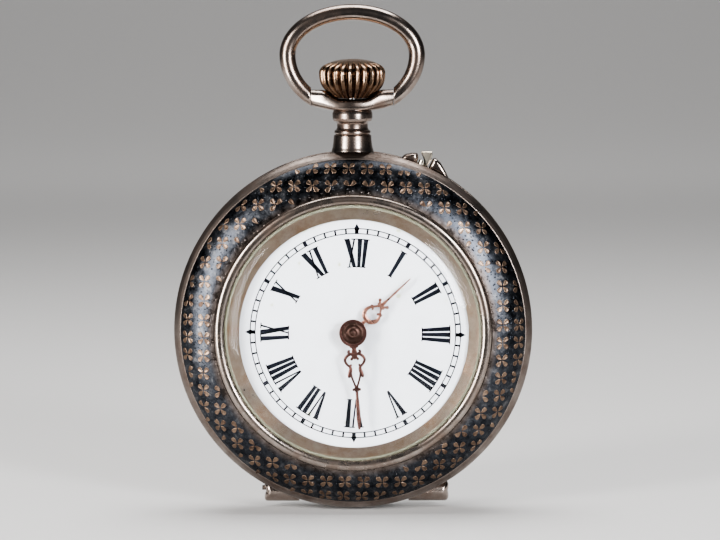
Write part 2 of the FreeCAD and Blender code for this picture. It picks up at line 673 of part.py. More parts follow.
keep("set_pusher", shaped(pusher, "set_pusher"))

# ---- main plate ----------------------------------------------------------------------------
plate_blank = turned([
    (0.42, plate_front), (11.6, plate_front), (11.6, -0.84), (plate_radius, -0.84),
    (plate_radius, plate_back), (0.42, plate_back)])
PIVOT = 0.06
recesses = [
    rod(2.05, -1.3, -0.3), rod(1.95, -1.3, -0.3, minute_at), rod(2.15, -1.3, -0.3, setting_at),
    rod(3.5, 0.15, 0.6), rod(0.68, 0.1, 0.6, third_at), rod(0.44, 0.0, 0.6, barrel_at),
    rod(0.3, 0.2, 0.6, fourth_at), rod(0.3, 0.2, 0.6, escape_at), rod(0.3, 0.2, 0.6, balance_at),
    rod(0.3, -0.15, 0.2, third_at), block((-1.35, 1.35), (-1.3, 0.6), (7.7, 10.3)),
    block((-0.5, 0.5), (0, 0.6), (10, 12)),
    spoke(0.42, 10.3, 12, push_angle, push_level)]
stem_channel = doc.addObject("Part::Cylinder", "stem_channel")
bind(stem_channel, "Radius", 0.5)
bind(stem_channel, "Height", 2)
bind(stem_channel, "Placement.Base.z", 10)
recesses.append(stem_channel)
foot_angles = (15, 255, 135)
foot_holes = [rod(0.41, -1.3, 0.05, polar(CENTER, as_size(8.6), as_size(turn)))
              for turn in foot_angles]
yoke_pivot = (8.0, 6.0)
yoke_tip = (0.3, 8.55)
yoke_tail = (4.15, 10.02)
yoke_tail_pressed = (3.89, 9.77)
spring_foot = (6.6, 3.6)
spring_tip = (5.365, 6.128)


def yoke_plan(low, high, margin):
    """Outline of the yoke: a long arm to the clutch and a tail to the pusher."""
    body = tapered(yoke_pivot, 0.75, (1.6, 8.5), 0.3, low, high, margin)
    tail = tapered(yoke_pivot, 0.75, yoke_tail, 0.4, low, high, margin)
    return body.fuse(tail).removeSplitter()


yoke_pocket = yoke_plan(-1.3, -0.7, 0.62)
post_slot = tapered(yoke_tail, 0.45, yoke_tail_pressed, 0.45, -1.3, 0.3)
spring_pocket = tapered(spring_foot, 0.45, spring_tip, 0.3, -1.3, -0.8)
yoke_room = shaped(yoke_pocket.fuse([post_slot, spring_pocket]))
plate_cut = cut(plate_blank, recesses + foot_holes + [yoke_room])
minute_post = rod(0.15, -1.14, -0.28, minute_at)
setting_post = rod(0.3, -1.0, -0.28, setting_at)
yoke_post = rod(0.3, -1.15, -0.65, (as_size(yoke_pivot[0]), as_size(yoke_pivot[1])))
keep("main_plate", fuse([plate_cut, minute_post, setting_post, yoke_post], "main_plate"))

# ---- dial ----------------------------------------------------------------------------------
dial_blank = turned([
    (0.85, dial_front), (9.6, dial_front), (10.6, dial_front + 0.02), (dial_radius, -1.7),
    (dial_radius, -1.25), (0.85, -1.25)])
dial_feet = [rod(0.4, -1.3, 0.0, polar(CENTER, as_size(8.6), as_size(turn)))
             for turn in foot_angles]
keep("dial", fuse([dial_blank] + dial_feet, "dial"))

# ---- motion work ---------------------------------------------------------------------------
half_turn = math.pi
cannon_phase = 0.0
minute_phase = meshed(cannon_leaves, cannon_phase, bearing(CENTER, minute_at), minute_teeth)
setting_phase = meshed(minute_teeth, minute_phase, bearing(minute_at, setting_at), setting_teeth)
leaf_phase = 0.0
hour_phase = meshed(minute_leaves, leaf_phase, bearing(minute_at, CENTER), hour_teeth)

cannon = toothed(cannon_leaves, motion_module, -0.75, -0.36, cannon_phase)
cannon = cannon.fuse(pin(0.42, -3.08, -0.75)).cut(pin(0.27, -3.2, 0))
keep("cannon_pinion", shaped(cannon.removeSplitter(), "cannon_pinion"))
minute_gear = toothed(minute_teeth, motion_module, -0.7, -0.42, minute_phase)
minute_gear = minute_gear.fuse(toothed(minute_leaves, motion_module, -1.12, -0.7, leaf_phase))
keep("minute_wheel", shaped(minute_gear.cut(pin(0.17, -2, 0)), "minute_wheel"), minute_at)
hour_gear = toothed(hour_teeth, motion_module, -1.12, -0.86, hour_phase)
hour_gear = hour_gear.fuse(pin(0.72, -2.42, -0.86)).cut(pin(0.46, -3, 0))
keep("hour_wheel", shaped(hour_gear.removeSplitter(), "hour_wheel"))
setting_gear = toothed(setting_teeth, motion_module, -0.7, -0.42, setting_phase)
keep("setting_wheel", shaped(setting_gear.cut(pin(0.33, -2, 0)), "setting_wheel"), setting_at)

# ---- hands ---------------------------------------------------------------------------------
HOUR_LOW, HOUR_HIGH = -2.42, -2.27
MINUTE_LOW, MINUTE_HIGH = -3.04, -2.89


def hour_hand_shape():
    """Pierced hour hand: boss, crescent, small cross of lobes and needle."""
    low, high = HOUR_LOW, HOUR_HIGH
    solid = pin(0.95, low, high)
    parts = [tapered((0, 0.8), 0.2, (0, 1.75), 0.14, low, high),
             ring_piece(0.73, 0.52, low, high, (0, 2.32)),
             tapered((0, 2.9), 0.16, (0, 3.6), 0.12, low, high),
             tapered((-0.62, 3.72), 0.13, (0.62, 3.72), 0.13, low, high),
             pin(0.22, low, high, (0, 3.95)), pin(0.19, low, high, (-0.62, 3.72)),
             pin(0.19, low, high, (0.62, 3.72)),
             tapered((0, 3.9), 0.17, (0, float(hour_length) - 0.05), 0.05, low, high)]
    solid = solid.fuse(parts)
    return solid.cut(pin(0.72, low - 0.1, high + 0.1)).removeSplitter()


def minute_hand_shape():
    """Pierced minute hand: boss, scroll, lyre loop and slim spear."""
    low, high = MINUTE_LOW, MINUTE_HIGH
    solid = pin(float(hub_radius), low, high)
    parts = [tapered((0, 1.0), 0.2, (0, 2.3), 0.15, low, high),
             tapered((-0.35, 1.62), 0.11, (0.35, 1.62), 0.11, low, high),
             ring_piece(0.34, 0.2, low, high, (-0.36, 2.55)),
             ring_piece(0.34, 0.2, low, high, (0.36, 2.55)),
             tapered((-0.5, 2.8), 0.13, (-0.62, 3.5), 0.11, low, high),
             tapered((0.5, 2.8), 0.13, (0.62, 3.5), 0.11, low, high),
             tapered((-0.62, 3.5), 0.11, (-0.1, 5.5), 0.09, low, high),
             tapered((0.62, 3.5), 0.11, (0.1, 5.5), 0.09, low, high),
             tapered((-0.3, 5.6), 0.12, (0.3, 5.6), 0.12, low, high),
             tapered((0, 5.5), 0.15, (0, 6.6), 0.2, low, high),
             tapered((0, 6.6), 0.2, (0, float(minute_length) - 0.05), 0.05, low, high)]
    solid = solid.fuse(parts)
    solid = solid.cut(pin(0.42, low - 0.1, high + 0.1))
    rings = ring_piece(float(hub_radius) - 0.02, 1.02, low - 0.08, low + 0.02, (0, 0))
    cap = pin(0.55, low - 0.14, low + 0.02).cut(pin(0.42, low - 0.04, low + 0.1))
    return solid.fuse([rings, cap]).removeSplitter()


hour_hand = shaped(hour_hand_shape(), "hour_hand")
hour_hand.Placement = Placement(ORIGIN, Rotation(BACK, 10))
bind(hour_hand, "Placement.Rotation.Angle", hour_angle)
keep("hour_hand", hour_hand)
minute_hand = shaped(minute_hand_shape(), "minute_hand")
minute_hand.Placement = Placement(ORIGIN, Rotation(BACK, 10))
bind(minute_hand, "Placement.Rotation.Angle", minute_angle)
keep("minute_hand", minute_hand)

# ---- going train ---------------------------------------------------------------------------
center_phase = 0.0
third_leaf_phase = meshed(center_teeth, center_phase, bearing(CENTER, third_at), third_leaves)
third_phase = 0.0
fourth_leaf_phase = meshed(third_teeth, third_phase, bearing(third_at, fourth_at), fourth_leaves)
fourth_phase = 0.0
escape_leaf_phase = meshed(fourth_teeth, fourth_phase, bearing(fourth_at, escape_at),
                           escape_leaves)
barrel_phase = 0.0
center_leaf_phase = meshed(barrel_teeth, barrel_phase, bearing(barrel_at, CENTER), center_leaves)


def wheel(teeth, module, phase, low, high, hole, arms, hub):
    """Thin train wheel with windows between its arms."""
    rim = float(module) * float(teeth) / 2 - 1.15 * float(module) - 0.28
    blank = toothed(teeth, module, low, high, phase)
    blank = crossed_out(blank, hub, rim, arms, 0.3, low, high)
    return blank.cut(pin(hole, low - 1, high + 1))


def arbor(steps):
    """Turned arbor from (radius, start, end) steps."""
    solid = pin(steps[0][0], steps[0][1], steps[0][2])
    return solid.fuse([pin(radius, low, high) for radius, low, high in steps[1:]])


center_gear = wheel(center_teeth, center_module, center_phase, 0.22, 0.42, 0.32, 5, 0.8)
keep("center_wheel", shaped(center_gear, "center_wheel"))
center_shaft = toothed(center_leaves, barrel_module, 0.52, 0.97, center_leaf_phase)
center_shaft = center_shaft.fuse(arbor([(0.25, -2.95, 0.1), (0.32, 0.1, 0.52), (0.3, 0.97, 1.93),
                                        (0.14, 1.93, 2.38)]))
keep("center_pinion", shaped(center_shaft.removeSplitter(), "center_pinion"))
third_gear = wheel(third_teeth, third_module, third_phase, 1.0, 1.14, 0.15, 5, 0.5)
keep("third_wheel", shaped(third_gear, "third_wheel"), third_at)
third_shaft = toothed(third_leaves, center_module, 0.17, 0.47, third_leaf_phase)
third_shaft = third_shaft.fuse(arbor([(PIVOT, -0.1, 0.14), (0.15, 0.13, 1.58),
                                      (PIVOT, 1.57, 1.8)]))
keep("third_pinion", shaped(third_shaft.removeSplitter(), "third_pinion"), third_at)
fourth_gear = wheel(fourth_teeth, fourth_module, fourth_phase, 0.66, 0.79, 0.13, 5, 0.45)
keep("fourth_wheel", shaped(fourth_gear, "fourth_wheel"), fourth_at)
fourth_shaft = toothed(fourth_leaves, third_module, 0.92, 1.22, fourth_leaf_phase)
fourth_shaft = fourth_shaft.fuse(arbor([(PIVOT, 0.28, 0.53), (0.13, 0.52, 1.58),
                                        (PIVOT, 1.57, 1.8)]))
keep("fourth_pinion", shaped(fourth_shaft.removeSplitter(), "fourth_pinion"), fourth_at)
escape_shaft = toothed(escape_leaves, fourth_module, 0.58, 0.88, escape_leaf_phase)
escape_shaft = escape_shaft.fuse(arbor([(PIVOT, 0.28, 0.53), (0.11, 0.52, 1.43),
                                        (PIVOT, 1.42, 1.6)]))
keep("escape_pinion", shaped(escape_shaft.removeSplitter(), "escape_pinion"), escape_at)


def escape_shape():
    """Cylinder escape wheel: crossed-out disc with raised wedge teeth."""
    solid = pin(1.36, 1.14, 1.26)
    solid = crossed_out(solid, 0.35, 1.1, 3, 0.22, 1.14, 1.26)
    count = int(float(escape_teeth))
    parts = []
    for index in range(count):
        turn = 2 * math.pi * index / count
        wedge = [point(1.28, turn), point(1.34, turn + 0.2), point(1.6, turn + 0.24),
                 point(1.5, turn + 0.1)]
        parts.append(slab([(spot.x, spot.z) for spot in wedge], 1.14, 1.4))
    return solid.fuse(parts).cut(pin(0.11, 1, 2)).removeSplitter()


keep("escape_wheel", shaped(escape_shape(), "escape_wheel"), escape_at)

# ---- balance -------------------------------------------------------------------------------
BALANCE_RADIUS = 3.4
balance = ring_piece(BALANCE_RADIUS, 3.1, 1.75, 2.05, (0, 0))
balance_arms = pin(0.5, 1.8, 2.0)
for turn in (0, 120, 240):
    beam = Part.makeBox(3.2, 0.2, 0.34, Vector(0, 1.8, -0.17))
    beam.rotate(ORIGIN, BACK, turn + 20)
    balance_arms = balance_arms.fuse(beam)
balance = balance.fuse(balance_arms).cut(pin(0.2, 1.5, 2.3)).removeSplitter()
keep("balance_wheel", shaped(balance, "balance_wheel"), balance_at)
staff = arbor([(PIVOT, 0.28, 0.56), (0.22, 0.55, 1.65), (0.32, 1.64, 1.75), (0.2, 1.74, 2.34),
               (PIVOT, 2.33, 2.62)])
notch = Part.makeBox(0.44, 0.5, 0.2, Vector(-0.22, 1.08, -0.22))
staff = staff.cut(notch)
keep("balance_staff", shaped(staff.removeSplitter(), "balance_staff"), balance_at)
keep("collet", shaped(ring_piece(0.42, 0.2, 2.1, 2.3, (0, 0)), "collet"), balance_at)
STUD_REACH = 2.25
hairspring = spiral(0.48, STUD_REACH - 0.2, 9, 0.035, 2.13, 2.27)
keep("hairspring", shaped(hairspring, "hairspring"), balance_at)

# ---- barrel --------------------------------------------------------------------------------
drum = toothed(barrel_teeth, barrel_module, 0.6, 0.84, barrel_phase)
drum = drum.fuse(pin(4.22, 0.6, 1.85)).cut(pin(4.05, 0.8, 2)).cut(pin(0.45, 0.5, 1))
keep("barrel", shaped(drum.removeSplitter(), "barrel"), barrel_at)
keep("barrel_cover", shaped(ring_piece(4.03, 0.62, 1.66, 1.84, (0, 0)), "barrel_cover"),
     barrel_at)
keep("mainspring", shaped(spiral(1.12, 3.88, 9, 0.11, 0.88, 1.6), "mainspring"), barrel_at)
barrel_shaft = arbor([(0.42, 0.05, 0.84), (1.0, 0.84, 1.63), (0.58, 1.62, 2.48),
                      (0.5, 2.47, 2.95)])
keep("barrel_arbor", shaped(barrel_shaft.removeSplitter(), "barrel_arbor"), barrel_at)

# ---- winding work --------------------------------------------------------------------------
crown_to_ratchet = math.hypot(float(barrel_at[0]) - float(crown_wheel_x),
                              float(barrel_at[1]) - float(crown_wheel_z))
winding_module = 2 * crown_to_ratchet / (float(crown_wheel_teeth) + float(ratchet_teeth))
crown_wheel_phase = 0.0
ratchet_phase = meshed(crown_wheel_teeth, crown_wheel_phase, bearing(crown_wheel_at, barrel_at),
                       ratchet_teeth)
WORKS_LOW, WORKS_HIGH = 2.5, 2.78
ratchet = toothed(ratchet_teeth, winding_module, WORKS_LOW, WORKS_HIGH, ratchet_phase)
keep("ratchet_wheel", shaped(ratchet.cut(pin(0.5, 2, 3)), "ratchet_wheel"), barrel_at)


def crown_wheel_shape():
    """Crown wheel: edge teeth above the bridge and face teeth below it."""
    solid = toothed(crown_wheel_teeth, winding_module, WORKS_LOW, WORKS_HIGH, crown_wheel_phase)
    solid = solid.fuse(pin(1.35, 1.45, WORKS_LOW))
    count = int(float(contrate_teeth))
    parts = []
    for index in range(count):
        beam = Part.makeBox(0.33, 0.3, 0.2, Vector(1.02, 1.16, -0.1))
        beam.rotate(ORIGIN, BACK, 360.0 * index / count)
        parts.append(beam)
    solid = solid.fuse(parts)
    return solid.removeSplitter()


keep("crown_wheel", shaped(crown_wheel_shape(), "crown_wheel"), crown_wheel_at)


def stem_gear(radius, teeth, low, high, hole):
    """Wheel with straight teeth that turns about the stem."""
    module = 2 * radius / (float(teeth) + 1.76)
    solid = toothed(teeth, module, low, high)
    solid.rotate(ORIGIN, RIGHT, 90)
    bore = Part.makeCylinder(hole, 20, Vector(0, 0, 0), UP)
    return solid, bore


winding, stem_hole = stem_gear(1.12, winding_teeth, 9.2, 9.9, float(stem_radius))
winding = winding.cut(stem_hole)
winding_pinion = shaped(winding, "winding_pinion")
winding_pinion.Placement = Placement(ORIGIN, Rotation())
bind(winding_pinion, "Placement.Base.y", stem_level)
keep("winding_pinion", winding_pinion)
clutch, clutch_hole = stem_gear(0.88, 14, 8.2, 8.42, 0.31)
clutch = clutch.fuse([Part.makeCylinder(0.66, 0.5, Vector(0, 0, 8.3), UP),
                      Part.makeCylinder(0.9, 0.4, Vector(0, 0, 8.72), UP)])
clutch = clutch.cut(clutch_hole).removeSplitter()
clutch_wheel = shaped(clutch, "clutch_wheel")
clutch_wheel.Placement = Placement(ORIGIN, Rotation())
bind(clutch_wheel, "Placement.Base.y", stem_level)
keep("clutch_wheel", clutch_wheel)

YOKE_LOW, YOKE_HIGH = -1.15, -0.76
yoke = yoke_plan(YOKE_LOW, YOKE_HIGH, 0.0)
yoke = yoke.fuse([tapered((1.7, 8.5), 0.3, yoke_tip, 0.11, YOKE_LOW, YOKE_HIGH + 0.04),
                  pin(0.34, YOKE_LOW, 0.2, yoke_tail)])
yoke = yoke.cut(pin(0.33, -2, 1, yoke_pivot)).removeSplitter()
keep("yoke", shaped(yoke, "yoke"))
yoke_spring = tapered(spring_foot, 0.3, spring_tip, 0.07, -1.12, -0.8)
keep("yoke_spring", shaped(yoke_spring, "yoke_spring"))

CLICK_PIVOT = (-7.83, 5.5)
CLICK_TIP = (-5.86, 6.98)
click = tapered(CLICK_PIVOT, 0.75, CLICK_TIP, 0.14, 2.5, 2.76)
click = click.cut(pin(0.32, 2, 3, CLICK_PIVOT))
keep("click", shaped(click, "click"))
CLICK_SPRING_FOOT = (-5.0, 9.3)
click_spring = tapered(CLICK_SPRING_FOOT, 0.4, (-6.9, 7.6), 0.07, 2.5, 2.72)
click_spring = click_spring.cut(pin(0.22, 2, 3, CLICK_SPRING_FOOT))
keep("click_spring", shaped(click_spring, "click_spring"))

# ---- bridges -------------------------------------------------------------------------------
JEWEL_RADIUS = 0.3
REACH = 11.1
bridge_tops = {}


def bridge(name, pivot, pivot_radius, foot, foot_radius, low, high, bore):
    """Finger bridge from its foot on the plate to a pivot."""
    solid = tapered(pivot, pivot_radius, foot, foot_radius, low, high)
    column = pin(foot_radius, float(plate_back), low, foot)
    solid = solid.fuse(column).common(pin(REACH, 0, 4))
    solid = solid.cut(pin(bore, low - 0.1, high + 0.1, pivot))
    solid = solid.cut(pin(0.27, low - 1.2, high + 0.1, foot))
    bridge_tops[name] = (foot, high)
    return keep(name, shaped(solid.removeSplitter(), name))


center_foot = (9.35, 1.6)
bridge("center_bridge", plain(CENTER), 0.9, center_foot, 1.15, 1.95, 2.4, JEWEL_RADIUS)
bridge("third_bridge", plain(third_at), 0.7, (9.0, -3.5), 1.05, 1.6, 2.1, JEWEL_RADIUS)
bridge("fourth_bridge", plain(fourth_at), 0.65, (5.5, -7.6), 1.05, 1.6, 2.1, JEWEL_RADIUS)
bridge("escape_cock", plain(escape_at), 0.55, (-2.4, -9.5), 1.0, 1.45, 1.67, JEWEL_RADIUS)


def balance_cock_shape():
    """Cock over the balance, its foot a segment outside the balance rim."""
    pivot = plain(balance_at)
    turn = math.atan2(pivot[1], pivot[0])
    outer = (10.4 * math.cos(turn), 10.4 * math.sin(turn))
    solid = tapered(pivot, 1.15, outer, 1.6, 2.42, 2.85)
    foot = pin(1.7, float(plate_back), 2.42, outer)
    foot = foot.cut(pin(BALANCE_RADIUS + 0.12, 0, 3, pivot))
    solid = solid.fuse(foot).common(pin(REACH, 0, 4))
    solid = solid.cut(pin(JEWEL_RADIUS, 2, 3, pivot))
    spot = (10.55 * math.cos(turn), 10.55 * math.sin(turn))
    solid = solid.cut(pin(0.45, 2.62, 3, spot)).cut(pin(0.22, 1.2, 3, spot))
    stud = point(STUD_REACH, turn + math.pi * 0.5, 0, pivot)
    stud_hole = pin(0.16, 2, 3, (stud.x, stud.z))
    arm = tapered(pivot, 0.5, (stud.x, stud.z), 0.35, 2.42, 2.85)
    return solid.fuse(arm).cut(stud_hole).cut(pin(JEWEL_RADIUS, 2, 3, pivot)), spot, stud


cock_shape, cock_screw, stud_at = balance_cock_shape()
keep("balance_cock", shaped(cock_shape.removeSplitter(), "balance_cock"))
keep("hairspring_stud", shaped(pin(0.15, 2.1, 2.9, (stud_at.x, stud_at.z)), "hairspring_stud"))


def barrel_bridge_shape():
    """Large bridge over the barrel, clear of the other bridges."""
    low, high = 1.95, 2.45
    outline = [(-12, 0.5), (4.1, 0.5), (4.1, 12), (-12, 12)]
    field = slab(outline, 0, 4).common(pin(REACH, 0, 4))
    finger = tapered(plain(CENTER), 0.9, center_foot, 1.15, 0, 4, 0.15)
    top = field.common(pin(20, low, high))
    rim = field.common(pin(20, float(plate_back), low)).cut(pin(9.95, 0, 4))
    side = field.common(slab([(2.35, 4.2), (4.0, 4.2), (4.0, 10), (2.35, 10)], 0.5, low))
    solid = top.fuse([rim, side]).cut(finger)
    barrel_room = pin(4.75, 0.4, low, plain(barrel_at))
    solid = solid.cut(barrel_room)
    solid = solid.cut(Part.makeBox(2.9, 1.6, 4.2, Vector(-1.45, 0.4, 7.6)))
    solid = solid.cut(pin(1.42, 0.4, 3, plain(crown_wheel_at)))
    solid = solid.cut(pin(0.6, 1, 3, plain(barrel_at)))
    for foot in barrel_screws:
        solid = solid.cut(pin(0.27, 0.4, 3, foot))
    for foot, hole in ((CLICK_PIVOT, 0.27), (CLICK_SPRING_FOOT, 0.19)):
        solid = solid.cut(pin(hole, 2.1, 3, foot))
    biggest = max(solid.Solids, key=lambda piece: piece.Volume)
    return biggest.removeSplitter()


barrel_screws = [point(10.42, math.radians(turn)) for turn in (72, 112, 168)]
barrel_screws = [(spot.x, spot.z) for spot in barrel_screws]
keep("barrel_bridge", shaped(barrel_bridge_shape(), "barrel_bridge"))

# ---- screws, jewels, regulator -------------------------------------------------------------
bridge_screws = []
for number, (foot, top) in enumerate(bridge_tops.values()):
    bridge_screws.append(screw(foot, top, 1.15, 0.5, 0.24, 25 + 40 * number))
for number, foot in enumerate(barrel_screws):
    bridge_screws.append(screw(foot, 2.45, 1.9, 0.5, 0.24, 10 + 50 * number))
bridge_screws.append(screw(cock_screw, 2.62, 1.35, 0.43, 0.21, 75))
keep("bridge_screws", shaped(Part.makeCompound(bridge_screws), "bridge_screws"))
works_screws = [screw(CLICK_PIVOT, 2.78, 0.65, 0.5, 0.2, 30),
                screw(CLICK_SPRING_FOOT, 2.73, 0.6, 0.34, 0.18, 70)]
keep("works_screws", shaped(Part.makeCompound(works_screws), "works_screws"))


def dog_screw(spot):
    """Case screw whose head overlaps the shoulder of the case middle."""
    solid = pin(0.75, 1.12, 1.4, spot).fuse([pin(0.42, 0.5, 1.12, spot)])
    slot = Part.makeBox(1.8, 0.2, 0.2, Vector(spot[0] - 0.9, 1.25, spot[1] - 0.1))
    return solid.cut(slot).removeSplitter()


dogs = [dog_screw((10.85, -1.0)), dog_screw((-10.8, -0.9))]
keep("case_screws", shaped(Part.makeCompound(dogs), "case_screws"))


def jewel(at, low, high):
    """Pierced jewel that fills its seat."""
    return ring_piece(JEWEL_RADIUS, PIVOT + 0.01, low, high, plain(at))


stones = [jewel(third_at, -0.1, 0.1), jewel(fourth_at, 0.25, 0.45),
          jewel(escape_at, 0.25, 0.45), jewel(balance_at, 0.25, 0.45),
          jewel(third_at, 1.62, 1.85), jewel(fourth_at, 1.62, 1.85),
          jewel(escape_at, 1.47, 1.65), jewel(balance_at, 2.44, 2.7)]
keep("jewels", shaped(Part.makeCompound(stones), "jewels"))
keep("cock_cap", shaped(pin(0.6, 2.86, 3.06), "cock_cap"), balance_at)
cock_turn = math.atan2(float(balance_at[1]), float(balance_at[0]))
tip = point(2.7, cock_turn + math.pi + 0.35)
tail = point(1.55, cock_turn + 0.9)
regulator = pin(0.98, 2.88, 3.0).fuse([
    tapered((0, 0), 0.3, (tip.x, tip.z), 0.09, 2.88, 3.0),
    tapered((0, 0), 0.3, (tail.x, tail.z), 0.12, 2.88, 3.0)])
regulator = regulator.cut(pin(0.63, 2, 4)).removeSplitter()
keep("regulator", shaped(regulator, "regulator"), balance_at)

# ---- checks and files ----------------------------------------------------------------------
doc.recompute()
faults = []
for item in doc.Objects:
    bad = [state for state in item.State if state in ("Invalid", "Error")]
    if bad:
        faults.append("%s (%s): %s" % (item.Label, item.Name, bad))
for name, item in nodes.items():
    shape = item.Shape
    if shape.isNull() or not shape.isValid() or not shape.Solids:
        faults.append("%s has no valid shape" % name)
if faults:
    raise RuntimeError("; ".join(faults))
os.makedirs("parts", exist_ok=True)
for name, item in sorted(nodes.items()):
    item.Shape.exportStep("parts/%s.step" % name)
    box = item.Shape.BoundBox
    print("%-18s solids %2d volume %9.4f z %7.2f..%7.2f y %6.2f..%6.2f" % (
        name, len(item.Shape.Solids), item.Shape.Volume, box.ZMin, box.ZMax, box.YMin, box.YMax))
print(len(nodes), "pieces")
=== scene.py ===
import math

import bmesh
import bpy
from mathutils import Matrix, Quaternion, Vector


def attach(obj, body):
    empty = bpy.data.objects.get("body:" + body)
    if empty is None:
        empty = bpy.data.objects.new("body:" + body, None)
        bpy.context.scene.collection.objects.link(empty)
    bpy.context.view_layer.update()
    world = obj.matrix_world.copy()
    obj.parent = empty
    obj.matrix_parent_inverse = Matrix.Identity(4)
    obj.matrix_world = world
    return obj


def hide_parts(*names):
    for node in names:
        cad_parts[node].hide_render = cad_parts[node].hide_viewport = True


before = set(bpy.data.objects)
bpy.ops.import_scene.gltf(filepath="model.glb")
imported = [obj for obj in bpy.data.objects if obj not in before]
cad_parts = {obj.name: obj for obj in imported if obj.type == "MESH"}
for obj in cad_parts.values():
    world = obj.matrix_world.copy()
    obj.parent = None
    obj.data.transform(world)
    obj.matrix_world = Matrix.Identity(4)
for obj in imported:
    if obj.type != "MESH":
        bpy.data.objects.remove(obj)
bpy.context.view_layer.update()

# Lengths below are millimetres round the case centre: x right, y back, z up.
MM = 0.001
CASE_Z = -27.83
TAU = 2 * math.pi


# ---- mesh helpers ---------------------------------------------------------------------------
def place(x, y, z):
    """Point of the case in the row frame, in metres."""
    return (x * MM, y * MM, (z + CASE_Z) * MM)


def add_mesh(name, verts, faces, body, material, nodes=(), slot=None, sharp=40):
    """Mesh piece that rides on a body and stands for CAD nodes."""
    mesh = bpy.data.meshes.new(name)
    mesh.from_pydata([place(*v) for v in verts], [], faces)
    mesh.validate()
    work = bmesh.new()
    work.from_mesh(mesh)
    bmesh.ops.remove_doubles(work, verts=work.verts, dist=1e-8)
    bmesh.ops.recalc_face_normals(work, faces=work.faces)
    work.to_mesh(mesh)
    work.free()
    mesh.shade_smooth()
    mesh.set_sharp_from_angle(angle=math.radians(sharp))
    piece = bpy.data.objects.new(name, mesh)
    bpy.context.scene.collection.objects.link(piece)
    mesh.materials.append(material)
    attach(piece, body)
    if nodes:
        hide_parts(*nodes)
    return piece


def rounded(corners, default=0.04, steps=4):
    """Outline with its corners rounded; a corner may carry its own radius."""
    result = []
    count = len(corners)
    for index in range(count):
        corner = corners[index]
        radius = corner[2] if len(corner) > 2 else default
        here = Vector(corner[:2])
        before = Vector(corners[index - 1][:2]) - here
        after = Vector(corners[(index + 1) % count][:2]) - here
        if radius <= 0 or before.length < 1e-6 or after.length < 1e-6:
            result.append(tuple(here))
            continue
        half = before.angle(after) / 2
        if half > 1.52:
            result.append(tuple(here))
            continue
        reach = min(radius / math.tan(half), before.length * 0.45, after.length * 0.45)
        first = here + before.normalized() * reach
        last = here + after.normalized() * reach
        for step in range(steps + 1):
            share = step / steps
            spot = first * (1 - share) ** 2 + here * 2 * share * (1 - share) + last * share ** 2
            result.append(tuple(spot))
    return result


def smooth_line(points, parts=6):
    """Open smooth line through points."""
    result = []
    last = len(points) - 1
    for index in range(last):
        p0 = Vector(points[max(index - 1, 0)])
        p1 = Vector(points[index])
        p2 = Vector(points[index + 1])
        p3 = Vector(points[min(index + 2, last)])
        for step in range(parts):
            t = step / parts
            spot = 0.5 * (2 * p1 + (p2 - p0) * t + (2 * p0 - 5 * p1 + 4 * p2 - p3) * t * t
                          + (3 * p1 - p0 - 3 * p2 + p3) * t ** 3)
            result.append(tuple(spot))
    result.append(tuple(points[-1]))
    return result


def quad_faces(rings, sides):
    """Faces between neighbouring closed rings of vertices."""
    faces = []
    for ring in range(rings - 1):
        for index in range(sides):
            a = ring * sides + index
            b = ring * sides + (index + 1) % sides
            faces.append((a, b, b + sides, a + sides))
    return faces


def end_faces(rings, sides):
    """Faces that close the first and the last ring."""
    return [tuple(range(sides)), tuple(range((rings - 1) * sides, rings * sides))]


def lathe_data(profile, steps=192, about="Y", closed=True, shape=None):
    """Vertices and faces of a turned profile; shape may change a radius by angle."""
    verts = []
    faces = []
    count = len(profile)
    for turn in range(steps):
        angle = TAU * turn / steps
        for radius, height in profile:
            if shape:
                radius = shape(radius, height, angle)
            across = radius * math.cos(angle)
            along = radius * math.sin(angle)
            verts.append((across, height, along) if about == "Y" else (across, along, height))
    rows = count if closed else count - 1
    for turn in range(steps):
        here = turn * count
        there = ((turn + 1) % steps) * count
        for row in range(rows):
            nxt = (row + 1) % count
            faces.append((here + row, here + nxt, there + nxt, there + row))
    return verts, faces


def lathe(name, profile, body, material, steps=192, closed=True, **more):
    """Piece turned about the axis of the case."""
    verts, faces = lathe_data(profile, steps, "Y", closed)
    return add_mesh(name, verts, faces, body, material, **more)


def tube_data(points, radii, sides):
    """Tube along points with a radius at each; ends closed."""
    verts = []
    path = [Vector(p) for p in points]
    side = Vector((0, 1, 0))
    for index, spot in enumerate(path):
        ahead = path[min(index + 1, len(path) - 1)] - path[max(index - 1, 0)]
        ahead.normalize()
        across = ahead.cross(side).normalized()
        for turn in range(sides):
            angle = TAU * turn / sides
            shift = across * math.cos(angle) + side * math.sin(angle)
            verts.append(tuple(spot + shift * radii[index]))
    return verts, quad_faces(len(path), sides) + end_faces(len(path), sides)


def slab_data(outline, front, back, edge):
    """Flat plate from an outline in x and z, with a small chamfer towards the front."""
    count = len(outline)
    middle = Vector((sum(p[0] for p in outline) / count, sum(p[1] for p in outline) / count))
    inner = []
    for index in range(count):
        here = Vector(outline[index][:2])
        tangent = Vector(outline[(index + 1) % count][:2]) - Vector(outline[index - 1][:2])
        normal = Vector((tangent.y, -tangent.x))
        if normal.length > 1e-9:
            normal.normalize()
        if normal.dot(middle - here) < 0:
            normal = -normal
        inner.append(here + normal * edge)
    verts = [(p[0], back, p[1]) for p in outline]
    verts += [(p[0], front + edge, p[1]) for p in outline]
    verts += [(p[0], front, p[1]) for p in inner]
    return verts, end_faces(3, count) + quad_faces(3, count)


def joined(parts):
    """One vertex and face list from several."""
    verts = []
    faces = []
    for more_verts, more_faces in parts:
        start = len(verts)
        verts += more_verts
        faces += [tuple(i + start for i in face) for face in more_faces]
    return verts, faces


